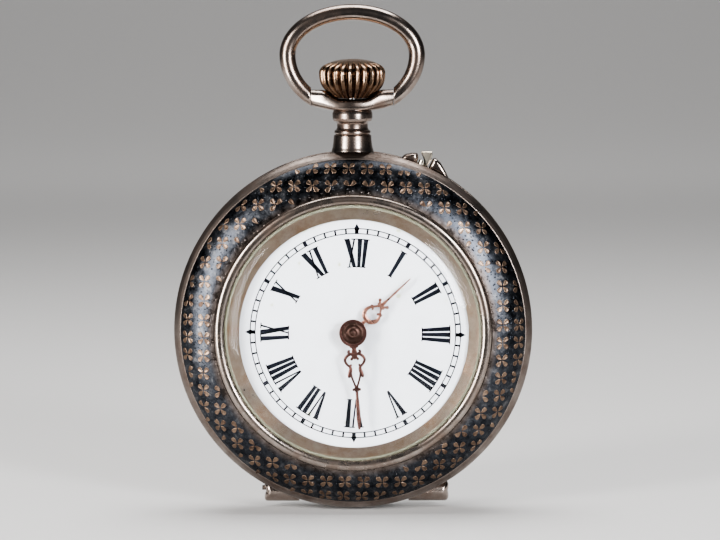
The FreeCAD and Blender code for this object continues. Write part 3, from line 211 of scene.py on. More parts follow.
def turned_clock(data, degrees):
    """Shape turned clockwise about the dial centre, as seen from the front."""
    c = math.cos(math.radians(degrees))
    s = math.sin(math.radians(degrees))
    verts, faces = data
    return [(x * c + z * s, y, z * c - x * s) for x, y, z in verts], faces


def clock_point(radius, degrees):
    """x and z at a clock angle."""
    turn = math.radians(degrees)
    return radius * math.sin(turn), radius * math.cos(turn)


# ---- materials ------------------------------------------------------------------------------
def new_material(name, color, metallic, roughness, **sockets):
    """Principled material with plain values."""
    material = bpy.data.materials.new(name)
    material.use_nodes = True
    shader = material.node_tree.nodes["Principled BSDF"]
    shader.inputs["Base Color"].default_value = (*color, 1)
    shader.inputs["Metallic"].default_value = metallic
    shader.inputs["Roughness"].default_value = roughness
    for key, value in sockets.items():
        shader.inputs[key.replace("_", " ")].default_value = value
    return material


def noise_node(tree, scale, detail, rough):
    """Noise over object space, scaled per metre."""
    coords = tree.nodes.new("ShaderNodeTexCoord")
    noise = tree.nodes.new("ShaderNodeTexNoise")
    noise.inputs["Scale"].default_value = scale
    noise.inputs["Detail"].default_value = detail
    noise.inputs["Roughness"].default_value = rough
    tree.links.new(coords.outputs["Object"], noise.inputs["Vector"])
    return noise


def ramp_node(tree, source, stops):
    """Colour ramp after a factor."""
    ramp = tree.nodes.new("ShaderNodeValToRGB")
    tree.links.new(source, ramp.inputs["Fac"])
    elements = ramp.color_ramp.elements
    while len(elements) < len(stops):
        elements.new(0.5)
    for element, (position, color) in zip(elements, stops):
        element.position = position
        element.color = (*color, 1)
    return ramp


def add_bump(material, source, strength, distance):
    """Bump from a factor."""
    tree = material.node_tree
    bump = tree.nodes.new("ShaderNodeBump")
    bump.inputs["Strength"].default_value = strength
    bump.inputs["Distance"].default_value = distance
    tree.links.new(source, bump.inputs["Height"])
    tree.links.new(bump.outputs["Normal"], tree.nodes["Principled BSDF"].inputs["Normal"])


def worn_metal(name, light, dark, roughness, scale=350, bump=0.15, spread=(0.35, 0.7)):
    """Metal with tarnish patches, uneven polish and fine scratches."""
    material = new_material(name, light, 1.0, roughness)
    tree = material.node_tree
    shader = tree.nodes["Principled BSDF"]
    patches = noise_node(tree, scale, 6, 0.65)
    ramp = ramp_node(tree, patches.outputs["Fac"], [(spread[0], dark), (spread[1], light)])
    tree.links.new(ramp.outputs["Color"], shader.inputs["Base Color"])
    low = max(roughness - 0.08, 0.05)
    high = roughness + 0.14
    gloss = ramp_node(tree, patches.outputs["Fac"],
                      [(0.3, (high,) * 3), (0.7, (low,) * 3)])
    tree.links.new(gloss.outputs["Color"], shader.inputs["Roughness"])
    grain = noise_node(tree, scale * 9, 3, 0.7)
    add_bump(material, grain.outputs["Fac"], bump, 0.00004)
    return material


SILVER = worn_metal("silver_polished", (0.41, 0.36, 0.325), (0.19, 0.14, 0.115), 0.2, 260)
RIDGE_SILVER = worn_metal("silver_ridge", (0.38, 0.335, 0.30), (0.19, 0.145, 0.12), 0.24, 420)
SILVER_DULL = worn_metal("silver_dull", (0.36, 0.32, 0.29), (0.18, 0.14, 0.115), 0.33, 420, 0.3)
RING_SILVER = worn_metal("silver_ring", (0.31, 0.27, 0.225), (0.20, 0.135, 0.09), 0.34, 500, 0.4)
RIM_SILVER = worn_metal("silver_rim", (0.25, 0.215, 0.193), (0.13, 0.10, 0.085), 0.34, 420, 0.3)
ROSE = worn_metal("rose_gold", (0.46, 0.26, 0.20), (0.19, 0.08, 0.06), 0.3, 1500, 0.1)
COPPER = worn_metal("hand_copper", (0.13, 0.065, 0.055), (0.06, 0.03, 0.025), 0.32, 1500, 0.1)
ROSE_DARK = worn_metal("rose_gold_dark", (0.055, 0.032, 0.026), (0.028, 0.016, 0.013), 0.36,
                       1800, 0.2)
STEEL = worn_metal("steel_polished", (0.56, 0.57, 0.58), (0.38, 0.38, 0.39), 0.22, 700, 0.08)
BLUED = worn_metal("steel_blued", (0.07, 0.11, 0.34), (0.05, 0.07, 0.2), 0.25, 900, 0.05)
BRASS = worn_metal("brass_wheel", (0.80, 0.62, 0.30), (0.62, 0.45, 0.20), 0.26, 700, 0.1)
NICKEL = worn_metal("nickel_frosted", (0.66, 0.64, 0.60), (0.54, 0.51, 0.46), 0.38, 600, 0.35)
PALE = worn_metal("nickel_silver", (0.76, 0.72, 0.62), (0.52, 0.45, 0.36), 0.26, 600, 0.15)
INLAY = worn_metal("inlay_silver", (0.21, 0.148, 0.108), (0.05, 0.031, 0.024), 0.34, 900, 0.2,
                   (0.3, 0.62))
INK = new_material("print_ink", (0.004, 0.005, 0.008), 0.0, 0.5, Specular_IOR_Level=0.05)
RUBY = new_material("ruby", (0.62, 0.03, 0.09), 0.0, 0.08)
GLASS_EDGE = new_material("crystal_edge_green", (0.13, 0.13, 0.095), 0.0, 0.25)


# Radii between which the niello turns from worn brown to black, and the raggedness of that edge.
WORN_INNER, WORN_OUTER, WORN_RAGGED = 12.85, 13.45, 0.9


def radius_node(tree):
    """Distance of a point from the axis of the case, in metres."""
    coords = tree.nodes.new("ShaderNodeTexCoord")
    shift = tree.nodes.new("ShaderNodeMapping")
    shift.inputs["Location"].default_value = (0, 0, -CASE_Z * MM)
    shift.inputs["Scale"].default_value = (1, 0, 1)
    tree.links.new(coords.outputs["Object"], shift.inputs["Vector"])
    reach = tree.nodes.new("ShaderNodeVectorMath")
    reach.operation = "LENGTH"
    tree.links.new(shift.outputs["Vector"], reach.inputs[0])
    return reach.outputs["Value"]


def spread_node(tree, source, low, high):
    """Factor that climbs from nought to one between two values."""
    scale = tree.nodes.new("ShaderNodeMapRange")
    scale.inputs["From Min"].default_value = low
    scale.inputs["From Max"].default_value = high
    tree.links.new(source, scale.inputs["Value"])
    return scale.outputs["Result"]


def blend_node(tree, factor, first, second):
    """Mix of two colours."""
    mix = tree.nodes.new("ShaderNodeMix")
    mix.data_type = "RGBA"
    tree.links.new(factor, mix.inputs["Factor"])
    tree.links.new(first, mix.inputs["A"])
    tree.links.new(second, mix.inputs["B"])
    return mix.outputs["Result"]


def niello_material():
    """Black niello with a cool sheen, pitted, and worn to brown metal beside the ridge."""
    material = new_material("niello_black", (0.05, 0.055, 0.065), 1.0, 0.3)
    tree = material.node_tree
    shader = tree.nodes["Principled BSDF"]
    wear = noise_node(tree, 1100, 8, 0.7)
    black = ramp_node(tree, wear.outputs["Fac"],
                      [(0.36, (0.015, 0.017, 0.021)), (0.55, (0.040, 0.043, 0.050)),
                       (0.7, (0.125, 0.125, 0.13))])
    brown = ramp_node(tree, wear.outputs["Fac"],
                      [(0.38, (0.04, 0.032, 0.028)), (0.62, (0.16, 0.13, 0.115))])
    ragged = tree.nodes.new("ShaderNodeMath")
    ragged.operation = "MULTIPLY_ADD"
    ragged.inputs[1].default_value = WORN_RAGGED * MM
    tree.links.new(wear.outputs["Fac"], ragged.inputs[0])
    tree.links.new(radius_node(tree), ragged.inputs[2])
    plain = spread_node(tree, ragged.outputs["Value"], WORN_INNER * MM, WORN_OUTER * MM)
    tree.links.new(blend_node(tree, plain, brown.outputs["Color"], black.outputs["Color"]),
                   shader.inputs["Base Color"])
    gloss = ramp_node(tree, wear.outputs["Fac"], [(0.35, (0.22,) * 3), (0.7, (0.42,) * 3)])
    tree.links.new(gloss.outputs["Color"], shader.inputs["Roughness"])
    pits = tree.nodes.new("ShaderNodeTexVoronoi")
    pits.inputs["Scale"].default_value = 3200
    coords = tree.nodes.new("ShaderNodeTexCoord")
    tree.links.new(coords.outputs["Object"], pits.inputs["Vector"])
    depth = ramp_node(tree, pits.outputs["Distance"], [(0.1, (0, 0, 0)), (0.26, (1, 1, 1))])
    add_bump(material, depth.outputs["Color"], 0.38, 0.00005)
    return material


def enamel_material():
    """Glossy white enamel with a few faint specks."""
    material = new_material("enamel_white", (0.66, 0.69, 0.73), 0.0, 0.12,
                            Coat_Weight=0.6, Coat_Roughness=0.03)
    tree = material.node_tree
    shader = tree.nodes["Principled BSDF"]
    specks = noise_node(tree, 620, 2, 0.5)
    color = ramp_node(tree, specks.outputs["Fac"],
                      [(0.25, (0.50, 0.53, 0.40)), (0.29, (0.65, 0.675, 0.71)),
                       (0.6, (0.67, 0.695, 0.735))])
    tree.links.new(color.outputs["Color"], shader.inputs["Base Color"])
    return material


def glass_material():
    """Thin clear glass that lets lamps light what is under it."""
    material = new_material("crystal_glass", (1, 1, 1), 0.0, 0.0,
                            Transmission_Weight=1.0, IOR=1.18)
    tree = material.node_tree
    path = tree.nodes.new("ShaderNodeLightPath")
    clear = tree.nodes.new("ShaderNodeBsdfTransparent")
    mix = tree.nodes.new("ShaderNodeMixShader")
    tree.links.new(path.outputs["Is Shadow Ray"], mix.inputs[0])
    tree.links.new(tree.nodes["Principled BSDF"].outputs["BSDF"], mix.inputs[1])
    tree.links.new(clear.outputs["BSDF"], mix.inputs[2])
    tree.links.new(mix.outputs["Shader"], tree.nodes["Material Output"].inputs["Surface"])
    return material


def crown_material():
    """Rose gilt, with painted shade from a vertex attribute: dark in the grooves and towards the
    lower part.
    """
    material = worn_metal("crown_gilt", (0.54, 0.39, 0.275), (0.30, 0.19, 0.13), 0.24, 800, 0.1)
    tree = material.node_tree
    shader = tree.nodes["Principled BSDF"]
    base = shader.inputs["Base Color"].links[0].from_socket
    depth = tree.nodes.new("ShaderNodeAttribute")
    depth.attribute_name = "painted_shade"
    # Painted shade: the attribute multiplies the gilt down to dark brown.
    shade_ramp = ramp_node(tree, depth.outputs["Fac"],
                     [(0.2, (1, 1, 1)), (0.7, (0.11, 0.075, 0.055))])
    mix = tree.nodes.new("ShaderNodeMix")
    mix.data_type = "RGBA"
    mix.blend_type = "MULTIPLY"
    mix.inputs["Factor"].default_value = 1.0
    tree.links.new(base, mix.inputs["A"])
    tree.links.new(shade_ramp.outputs["Color"], mix.inputs["B"])
    tree.links.new(mix.outputs["Result"], shader.inputs["Base Color"])
    return material


NIELLO = niello_material()
ENAMEL = enamel_material()
GLASS = glass_material()
CROWN = crown_material()

# ---- case: bezel ----------------------------------------------------------------------------
DOME_FRONT = [(12.42, -3.33), (12.7, -3.275), (13.1, -3.17), (13.6, -3.0), (14.05, -2.8),
              (14.5, -2.55), (14.9, -2.26), (15.2, -1.98), (15.4, -1.75)]
DOME_BACK = [(6.0, 4.9), (7.5, 4.78), (9.0, 4.55), (10.2, 4.3), (11.5, 3.95), (12.8, 3.5),
             (13.7, 3.07), (14.3, 2.72), (14.8, 2.35), (15.2, 1.95), (15.55, 1.5), (15.72, 1.2)]

front_line = smooth_line(DOME_FRONT, 5)
lathe("bezel_niello", front_line, "bezel", NIELLO, closed=False, steps=256,
      nodes=("bezel",), slot="niello")
# The silver ridge is half an ellipse between the glass and the niello.
RIDGE_RADIUS, RIDGE_LEVEL, RIDGE_WIDE, RIDGE_TALL = 11.9, -3.32, 0.46, 0.34
ridge = [(RIDGE_RADIUS + RIDGE_WIDE * math.cos(math.radians(turn)),
          RIDGE_LEVEL + RIDGE_TALL * math.sin(math.radians(turn)))
         for turn in range(-180, 1, 10)]
lathe("bezel_ridge", [(11.5, -3.1)] + ridge + [DOME_FRONT[0]], "bezel", RIDGE_SILVER,
      closed=False, steps=256, slot="silver")
rim_profile = rounded([(15.4, -1.75, 0), (15.46, -1.74, 0.02), (15.72, -1.5, 0.15),
                       (15.92, -1.24, 0.15), (16.04, -1.02, 0.1), (16.05, -0.86, 0.06),
                       (16.0, -0.76, 0.05), (14.8, -0.76), (14.8, -1.6), (14.1, -2.05),
                       (13.3, -2.45), (12.35, -2.7), (11.5, -2.72), (11.5, -3.0),
                       (12.08, -3.0), (12.08, -3.3, 0)], 0.03)
lathe("bezel_rims", rim_profile, "bezel", RIM_SILVER, closed=False, steps=256, slot="silver")


def dome_map(line, inner):
    """Lookup from distance along a dome's outline to its point and normal."""
    table = []
    length = inner
    for index, (radius, height) in enumerate(line):
        if index:
            before = line[index - 1]
            length += math.hypot(radius - before[0], height - before[1])
        ahead = line[min(index + 1, len(line) - 1)]
        behind = line[max(index - 1, 0)]
        slope = Vector((ahead[0] - behind[0], ahead[1] - behind[1])).normalized()
        table.append((length, radius, height, slope))
    return table


def on_dome(table, u, v, lift, front):
    """Point of a flat pattern wrapped on a dome."""
    reach = math.hypot(u, v)
    low = table[0]
    high = table[-1]
    for index in range(1, len(table)):
        if table[index][0] >= reach:
            low = table[index - 1]
            high = table[index]
            break
    share = (reach - low[0]) / max(high[0] - low[0], 1e-9)
    radius = low[1] + (high[1] - low[1]) * share
    height = low[2] + (high[2] - low[2]) * share
    slope = low[3].lerp(high[3], min(max(share, 0), 1))
    normal = Vector((slope.y, -slope.x)).normalized()
    if (normal.y > 0) == front:
        normal = -normal
    radius += normal.x * lift
    height += normal.y * lift
    return (radius * u / reach, height, radius * v / reach)


# A leaf of a cross, before it is scaled: where it starts, its length, its width, the middle of its
# dish, the point by which it is kept or left out at a border, and how far it stands up.
LEAF_START, LEAF_LONG, LEAF_WIDE = 0.05, 0.62, 0.235
LEAF_CORE, LEAF_MIDDLE, LEAF_LIFT = 0.46, 0.5, 0.018
CROSS_SIZE = 1.05
COLUMN_START, COLUMN_PITCH, COLUMN_BEND = 0.03, 1.667, 0.00293
ROW_START, ROW_ABOVE, ROW_BELOW = 0.93, 1.74, 1.598
LEAN = 0.0196


def petal_data(table, center, angle, front):
    """One leaf of a cross: narrow at the middle, round outside, with a dished face."""
    sides = 20
    outline = []
    for turn in range(sides):
        swing = TAU * turn / sides
        along = 0.5 - 0.5 * math.cos(swing)
        width = LEAF_WIDE * math.sin(swing) * (0.35 + 0.9 * along ** 1.1)
        outline.append((LEAF_START + LEAF_LONG * along, width))
    verts = []
    levels = ((1.0, -0.006), (0.93, LEAF_LIFT), (0.72, LEAF_LIFT * 1.1), (0.5, LEAF_LIFT * 0.35),
              (0.25, 0.002))
    c = math.cos(angle)
    s = math.sin(angle)
    for share, rise in levels:
        for x, w in outline:
            px = (LEAF_CORE + (x - LEAF_CORE) * share) * CROSS_SIZE
            py = w * share * CROSS_SIZE
            u = center[0] + px * c - py * s
            v = center[1] + px * s + py * c
            verts.append(on_dome(table, u, v, rise, front))
    return verts, quad_faces(len(levels), sides) + end_faces(len(levels), sides)[1:]


def crosses(name, line, inner, limits, body, front, lowest=-20.0):
    """Grid of four-leaf crosses over a dome, cut short at its borders."""
    table = dome_map(line, inner)
    outer = table[-1][0]
    parts = []
    count = int(outer / COLUMN_PITCH) + 2
    for column in range(-count, count + 1):
        for row in range(-count, count + 1):
            level = ROW_START + row * (ROW_ABOVE if row > 0 else ROW_BELOW)
            u = COLUMN_START + column * COLUMN_PITCH + LEAN * level - COLUMN_BEND * level * level
            v = level - LEAN * u
            for leaf in range(4):
                angle = math.radians(45 + 90 * leaf)
                reach = math.hypot(u + LEAF_MIDDLE * math.cos(angle),
                                   v + LEAF_MIDDLE * math.sin(angle))
                if limits[0] < reach < outer - limits[1] and v > lowest:
                    parts.append(petal_data(table, (u, v), angle, front))
    verts, faces = joined(parts)
    return add_mesh(name, verts, faces, body, INLAY, slot="niello", sharp=60)


crosses("bezel_crosses", front_line, DOME_FRONT[0][0], (12.95, 0.22), "bezel", True)

# ---- dial ring and crystal ------------------------------------------------------------------
# The ring's inner edge sits a little off the centre, and everything inside RING_SHIFTED with it.
RING_X, RING_Z, RING_SHIFTED = 0.07, -0.2, 10.8
ring_profile = rounded([
    (10.22, -2.08, 0.05), (10.22, -1.86), (10.7, -1.86), (11.45, -2.6), (11.45, -2.98, 0.02),
    (11.26, -2.98, 0.06), (10.9, -2.64, 0.05)], 0.03)
ring_verts, ring_faces = lathe_data(ring_profile, 256)
ring_verts = [(x + RING_X, y, z + RING_Z) if math.hypot(x, z) < RING_SHIFTED else (x, y, z)
              for x, y, z in ring_verts]
add_mesh("dial_ring_visual", ring_verts, ring_faces, "bezel", RING_SILVER,
         nodes=("dial_ring",), slot="silver")
glass_outer = smooth_line([(11.5, -3.32), (11.2, -3.68), (10.5, -4.05), (9.0, -4.45),
                           (6.0, -4.85), (3.0, -5.0), (0.001, -5.05)], 5)
glass_inner = smooth_line([(0.001, -4.45), (3.0, -4.4), (6.0, -4.25), (9.0, -3.9),
                           (10.8, -3.4), (11.3, -3.06)], 5)
lathe("crystal_visual", glass_outer + glass_inner + [(12.04, -3.06), (12.04, -3.28)],
      "bezel", GLASS, nodes=("crystal",), slot="glass")
glass_edge = [(11.17, -3.1), (11.47, -3.1), (11.47, -3.27), (11.32, -3.4), (11.17, -3.4)]
lathe("crystal_edge", glass_edge, "bezel", GLASS_EDGE, slot="glass")

# ---- case middle and hinge ------------------------------------------------------------------
band_profile = rounded([
    (11.36, -0.8), (11.66, -0.8), (11.66, -1.1), (14.2, -1.1), (14.2, -1.54), (14.74, -1.54),
    (14.74, -0.69), (15.83, -0.69, 0.05), (15.9, -0.45, 0.1), (15.9, 0.45, 0.1),
    (15.83, 0.69, 0.05), (14.9, 0.69), (14.9, 1.34), (14.3, 1.34), (14.3, 1.09),
    (11.36, 1.09)], 0.03)
lathe("case_band", band_profile, "case", SILVER_DULL, steps=256, nodes=("case_middle",),
      slot="silver_worn")
# The knuckles are plain rods; the two lumps at the hinge's ends are thicker and domed.
HINGE_Y, HINGE_Z, KNUCKLE = 1.0, -14.55, 0.6
LUMP_Z, LUMP, LUMP_FROM = -14.83, 0.94, 6.5
DOME, DOME_STEPS = 0.6, 6
CHAMFER, CHAMFER_SHARE = 0.03, 0.93


def x_rod(low, high, radius, level, height, low_dome=False, high_dome=False):
    """Round bar along x; either end may be domed."""
    dome = []
    for step in range(DOME_STEPS + 1):
        turn = math.pi / 2 * step / DOME_STEPS
        dome.append((DOME * radius * math.cos(turn), max(radius * math.sin(turn), 0.01)))
    flat = [(0.0, radius * CHAMFER_SHARE), (-CHAMFER, radius)]
    points = [(low - out, r) for out, r in (dome if low_dome else flat)]
    points += [(high + out, r) for out, r in reversed(dome if high_dome else flat)]
    sides = 28
    verts = []
    for x, r in points:
        for turn in range(sides):
            a = TAU * turn / sides
            verts.append((x, level + r * math.sin(a), height + r * math.cos(a)))
    return verts, quad_faces(len(points), sides) + end_faces(len(points), sides)


def leaning(data, lean):
    """Ends of the hinge that reach further out at the top."""
    verts, faces = data
    return [(x + math.copysign(lean * (z - LUMP_Z), x) if abs(x) > LUMP_FROM else x, y, z)
            for x, y, z in verts], faces


add_mesh("hinge_case_knuckles", *joined([
    leaning(x_rod(-7.4, -4.93, LUMP, HINGE_Y, LUMP_Z, low_dome=True), 0.45),
    leaning(x_rod(4.93, 7.95, LUMP, HINGE_Y, LUMP_Z, high_dome=True), 0.3),
    x_rod(-1.6, 1.6, KNUCKLE, HINGE_Y, HINGE_Z)]), "case", SILVER, slot="silver_worn")
add_mesh("hinge_cover_knuckles", *joined([
    x_rod(-4.85, -1.68, KNUCKLE, HINGE_Y, HINGE_Z),
    x_rod(1.68, 4.85, KNUCKLE, HINGE_Y, HINGE_Z)]), "back", SILVER, slot="niello")


# ---- covers ---------------------------------------------------------------------------------
back_line = smooth_line(DOME_BACK, 5)
CUT_Z, CUT_HALF = -13.82, 4.75
LUMP_CUT_Z, LUMP_CUT_HALF = -13.42, 9.2
DUST_CUT_Z, DUST_CUT_HALF, DUST_CUT_BACK = -13.19, 2.75, 2.3


def trimmed(data):
    """Straight edge along the hinge, drawn up further beside its two end lumps."""
    verts, faces = data
    moved = []
    for x, y, z in verts:
        edge = CUT_Z if abs(x) < CUT_HALF else LUMP_CUT_Z
        moved.append((x, y, max(z, edge) if abs(x) < LUMP_CUT_HALF else z))
    return moved, faces


niello_data = trimmed(lathe_data(back_line, 256, "Y", False))
add_mesh("back_niello", *niello_data, "back", NIELLO, nodes=("back_cover",), slot="niello")
back_rim = rounded([(15.72, 1.2, 0), (15.83, 1.25, 0.06), (16.0, 1.14, 0.1),
                    (16.05, 0.93, 0.1), (16.0, 0.76, 0.05), (14.95, 0.76), (14.95, 1.42),
                    (14.75, 1.6), (14.1, 2.3), (13.0, 2.98), (11.4, 3.55), (9.0, 4.12),
                    (6.0, 4.46), (0.001, 4.5, 0)], 0.03)
lining_data = trimmed(lathe_data(back_rim, 256, "Y", False))
add_mesh("back_lining", *lining_data, "back", SILVER, slot="niello")
cartouche = [(6.0, 4.885), (5.9, 4.93), (5.72, 4.94), (5.6, 4.9), (5.0, 4.9), (0.001, 4.9)]
lathe("back_cartouche", cartouche, "back", SILVER, closed=False, slot="niello")
crosses("back_crosses", back_line, DOME_BACK[0][0], (6.75, 0.35), "back", False, -14.2)

dust_profile = rounded([(13.1, 1.16), (13.9, 1.16), (13.9, 1.42, 0.08), (13.5, 1.62, 0.1),
                        (13.25, 2.2, 0.3), (12.5, 2.85, 0.5), (11.2, 3.35, 0.8),
                        (9.0, 3.72, 1.0), (5.0, 3.9, 1.0), (0.001, 3.95, 0),
                        (0.001, 3.67, 0), (5.0, 3.62, 1.0), (9.0, 3.44, 1.0),
                        (11.0, 3.1, 0.5), (12.15, 2.65, 0.5), (12.9, 2.05, 0.3)], 0.05)
dust_verts, dust_faces = lathe_data(dust_profile)
lip = x_rod(-1.5, 1.5, 0.28, 1.5, -13.55)
web = slab_data([(-1.5, -13.5), (1.5, -13.5), (1.5, -12.9), (-1.5, -12.9)], 1.28, 1.78, 0.02)
dust_verts = [(x, y, max(z, DUST_CUT_Z) if abs(x) < DUST_CUT_HALF and y < DUST_CUT_BACK else z)
              for x, y, z in dust_verts]
add_mesh("dust_visual", *joined([(dust_verts, dust_faces), lip, web]), "dust", SILVER,
         nodes=("dust_cover",), slot="silver_worn")

# ---- pendant --------------------------------------------------------------------------------
neck_profile = rounded([
    (0.47, 15.6, 0), (1.92, 15.6, 0), (1.88, 16.1, 0.2), (1.79, 16.36, 0.3), (1.73, 16.75, 0.5),
    (1.7, 17.1, 0.5), (1.67, 17.46, 0.08), (1.5, 17.52, 0.02), (1.58, 17.58, 0.04),
    (1.63, 17.7, 0.06), (1.61, 17.86, 0.06), (1.46, 17.95, 0.04), (1.38, 18.12, 0.2),
    (1.38, 18.5, 0.2), (1.48, 18.66, 0.05), (1.7, 18.73, 0.06), (1.79, 18.98, 0.15),
    (1.79, 19.4, 0.2), (1.7, 19.64, 0.08), (1.5, 19.72, 0.05), (1.5, 20.2, 0), (0.47, 20.2, 0)],
    0.05)


# The neck's foot, up to FOOT_TOP, follows the round of the case; the head is a bar of changing
# section that climbs from CLIMB_FROM to both ends.
CASE_ROUND, FOOT_TOP = 16.03, 16.4
HEAD_HALF, HEAD_TOP, HEAD_LOW, HEAD_DEEP = 3.66, 20.72, 19.58, 0.64
CLIMB_FROM, CLIMB_LONG, CLIMB_TALL = 1.0, 1.75, 0.8


def saddle(x, y, z):
    """Bring the foot of the neck down on the round of the case."""
    floor = math.sqrt(max(CASE_ROUND ** 2 - x * x, 0))
    return (x, y, max(z, floor) if z < FOOT_TOP else z)


neck_verts, neck_faces = lathe_data(neck_profile, 96, "Z")
neck_verts = [saddle(*v) for v in neck_verts]


def head_data():
    """Pendant head that carries on the oval of the bow, deep in the middle."""
    sections = 48
    sides = 32
    verts = []
    for index in range(sections + 1):
        x = -HEAD_HALF + 2 * HEAD_HALF * index / sections
        share = abs(x) / HEAD_HALF
        climb = min(max((abs(x) - CLIMB_FROM) / CLIMB_LONG, 0), 1)
        top = HEAD_TOP + CLIMB_TALL * climb * climb * (3 - 2 * climb)
        low = HEAD_LOW + 0.5 * share ** 2.4
        half = (top - low) / 2
        deep = HEAD_DEEP + 0.95 * (1 - share ** 1.6)
        for turn in range(sides):
            a = TAU * turn / sides
            c = math.cos(a)
            s = math.sin(a)
            power = 0.5 + 0.45 * share ** 2
            verts.append((x, deep * math.copysign(abs(c) ** power, c),
                          (top + low) / 2 + half * math.copysign(abs(s) ** power, s)))
    return verts, quad_faces(sections + 1, sides) + end_faces(sections + 1, sides)


add_mesh("pendant_visual", *joined([(neck_verts, neck_faces), head_data()]), "case", SILVER,
         nodes=("pendant",), slot="silver")


# ---- bow ------------------------------------------------------------------------------------
# Half the width of the wire's middle line, its widest level, top and two ends.
BOW_HALF, BOW_WIDEST, BOW_TOP = 5.77, 24.6, 28.4
BOW_END_X, BOW_END_Z, BOW_END_TOP = 3.69, 20.85, 22.4
WIRE, WIRE_THINNER = 0.72, 0.07
BOW_STEPS = 124


def bow_data():
    """Oval ring that thins a little towards its two ends, which are cut flat at the head."""
    top = BOW_TOP - BOW_WIDEST
    drop = (BOW_WIDEST - BOW_END_Z) / math.sqrt(1 - (BOW_END_X / BOW_HALF) ** 2)
    limit = math.acos(BOW_END_X / BOW_HALF)
    extra = 0.1
    points = []
    radii = []
    for index in range(BOW_STEPS + 1):
        angle = -limit - extra + (math.pi + 2 * (limit + extra)) * index / BOW_STEPS
        rise = top if math.sin(angle) > 0 else drop
        points.append((BOW_HALF * math.cos(angle), 0, BOW_WIDEST + rise * math.sin(angle)))
        radii.append(WIRE - WIRE_THINNER * max(0, -math.sin(angle)) ** 2)
    verts, faces = tube_data(points, radii, 32)
    verts = [(math.copysign(max(abs(x), BOW_END_X), x) if z < BOW_END_TOP else x, y, z)
             for x, y, z in verts]
    return verts, faces


add_mesh("bow_visual", *bow_data(), "bow", SILVER, nodes=("bow",), slot="silver", sharp=60)

# ---- crown ----------------------------------------------------------------------------------
RIBS, GROOVE_DEEP = 25, 0.3
CROWN_FOOT, CROWN_SHOULDER = 20.8, 24.08
# Painted shade: the grooves darkened up to the first level here, and everything below SHADE_TOP by
# up to SHADE.
GROOVE_SHADE_TOP, SHADE_TOP, SHADE = 24.1, 23.0, 0.62
crown_profile = smooth_line([(1.5, CROWN_FOOT), (1.7, 20.86), (2.2, 21.26), (2.66, 21.76),
                             (2.89, 22.3), (2.96, 22.8), (2.96, 23.12), (2.83, 23.42),
                             (2.47, 23.74), (1.6, CROWN_SHOULDER), (0.8, 24.22), (0.02, 24.27)], 6)


def rib(radius, height, angle):
    """Round ribs with sharp grooves between them."""
    if radius < 1.5:
        return radius
    low = min(max((height - CROWN_FOOT) / 0.1, 0), 1)
    high = min(max((CROWN_SHOULDER - height) / 0.35, 0), 1)
    wave = abs(math.sin(RIBS * angle / 2))
    return radius - GROOVE_DEEP * low * high * (1 - wave ** 1.3)


crown_verts, crown_faces = lathe_data(crown_profile, RIBS * 16, "Z", False, rib)
crown_verts.append((0, 0, CROWN_FOOT))
crown_faces.append(tuple(range(0, len(crown_verts) - 1, len(crown_profile))))
crown = add_mesh("crown_visual", crown_verts, crown_faces, "crown", CROWN, nodes=("crown",),
                 slot="gilt", sharp=80)
# Painted shade per vertex: dark in the grooves, and darker over the crown's lower part.
painted_shade = crown.data.attributes.new("painted_shade", "FLOAT", "POINT")
for index, vertex in enumerate(crown.data.vertices):
    x = vertex.co.x / MM
    y = vertex.co.y / MM
    z = vertex.co.z / MM - CASE_Z
    wave = abs(math.sin(RIBS * math.atan2(y, x) / 2))
    inside = min(max((GROOVE_SHADE_TOP - z) / 0.3, 0), 1)
    shade = SHADE * min(max(SHADE_TOP - z, 0), 1)
    painted_shade.data[index].value = max((1 - wave ** 1.9) * inside, shade)

# ---- set pusher and guards ------------------------------------------------------------------
PUSHER_CLOCK = 22.5
head_outline = rounded([(-0.43, 17.12), (0.0, 17.33, 0.3), (0.47, 17.48), (0.6, 17.2, 0.2),
                        (0.65, 16.78, 0.3), (0.57, 16.3, 0.3), (0.5, 16.02), (0.3, 16.02),
                        (0.27, 16.2, 0.2), (0.12, 16.5, 0.2), (-0.05, 16.68, 0.2),
                        (-0.37, 16.95)], 0.06)
shaft_verts, shaft_faces = lathe_data([(0.001, 11.24), (0.33, 11.24), (0.33, 16.4),
                                       (0.001, 16.4)], 32, "Z")
shaft_verts = [(x, y - 0.1, z) for x, y, z in shaft_verts]
pusher_data = joined([slab_data(head_outline, -0.45, 0.45, 0.08), (shaft_verts, shaft_faces)])
add_mesh("pusher_visual", *turned_clock(pusher_data, PUSHER_CLOCK), "pusher", PALE,
         nodes=("set_pusher",), slot="nickel")


def pillow_data(outline, front, back, levels):
    """Lump whose outline draws in towards the front."""
    count = len(outline)
    middle_x = sum(p[0] for p in outline) / count
    middle_z = sum(p[1] for p in outline) / count
    rings = [(1.0, back)] + [(share, front + rise) for share, rise in levels]
    verts = [(middle_x + (p[0] - middle_x) * share, level, middle_z + (p[1] - middle_z) * share)
             for share, level in rings for p in outline]
    return verts, end_faces(len(rings), count) + quad_faces(len(rings), count)


GUARD_FOOT, GUARD_FRONT, GUARD_BACK = 15.86, -0.66, 0.62
GUARD_LEVELS = ((1.0, 0.6), (0.985, 0.44), (0.94, 0.29), (0.86, 0.17), (0.74, 0.08),
                (0.56, 0.025), (0.3, 0.0))


def guard_data(first, last, crest):
    """Hump on the band beside the pusher."""
    outline = [clock_point(GUARD_FOOT, first + (last - first) * step / 8) + (0,)
               for step in range(9)]
    outline += [clock_point(radius, clock) + (reach,) for clock, radius, reach in crest]
    return pillow_data(rounded(outline), GUARD_FRONT, GUARD_BACK, GUARD_LEVELS)


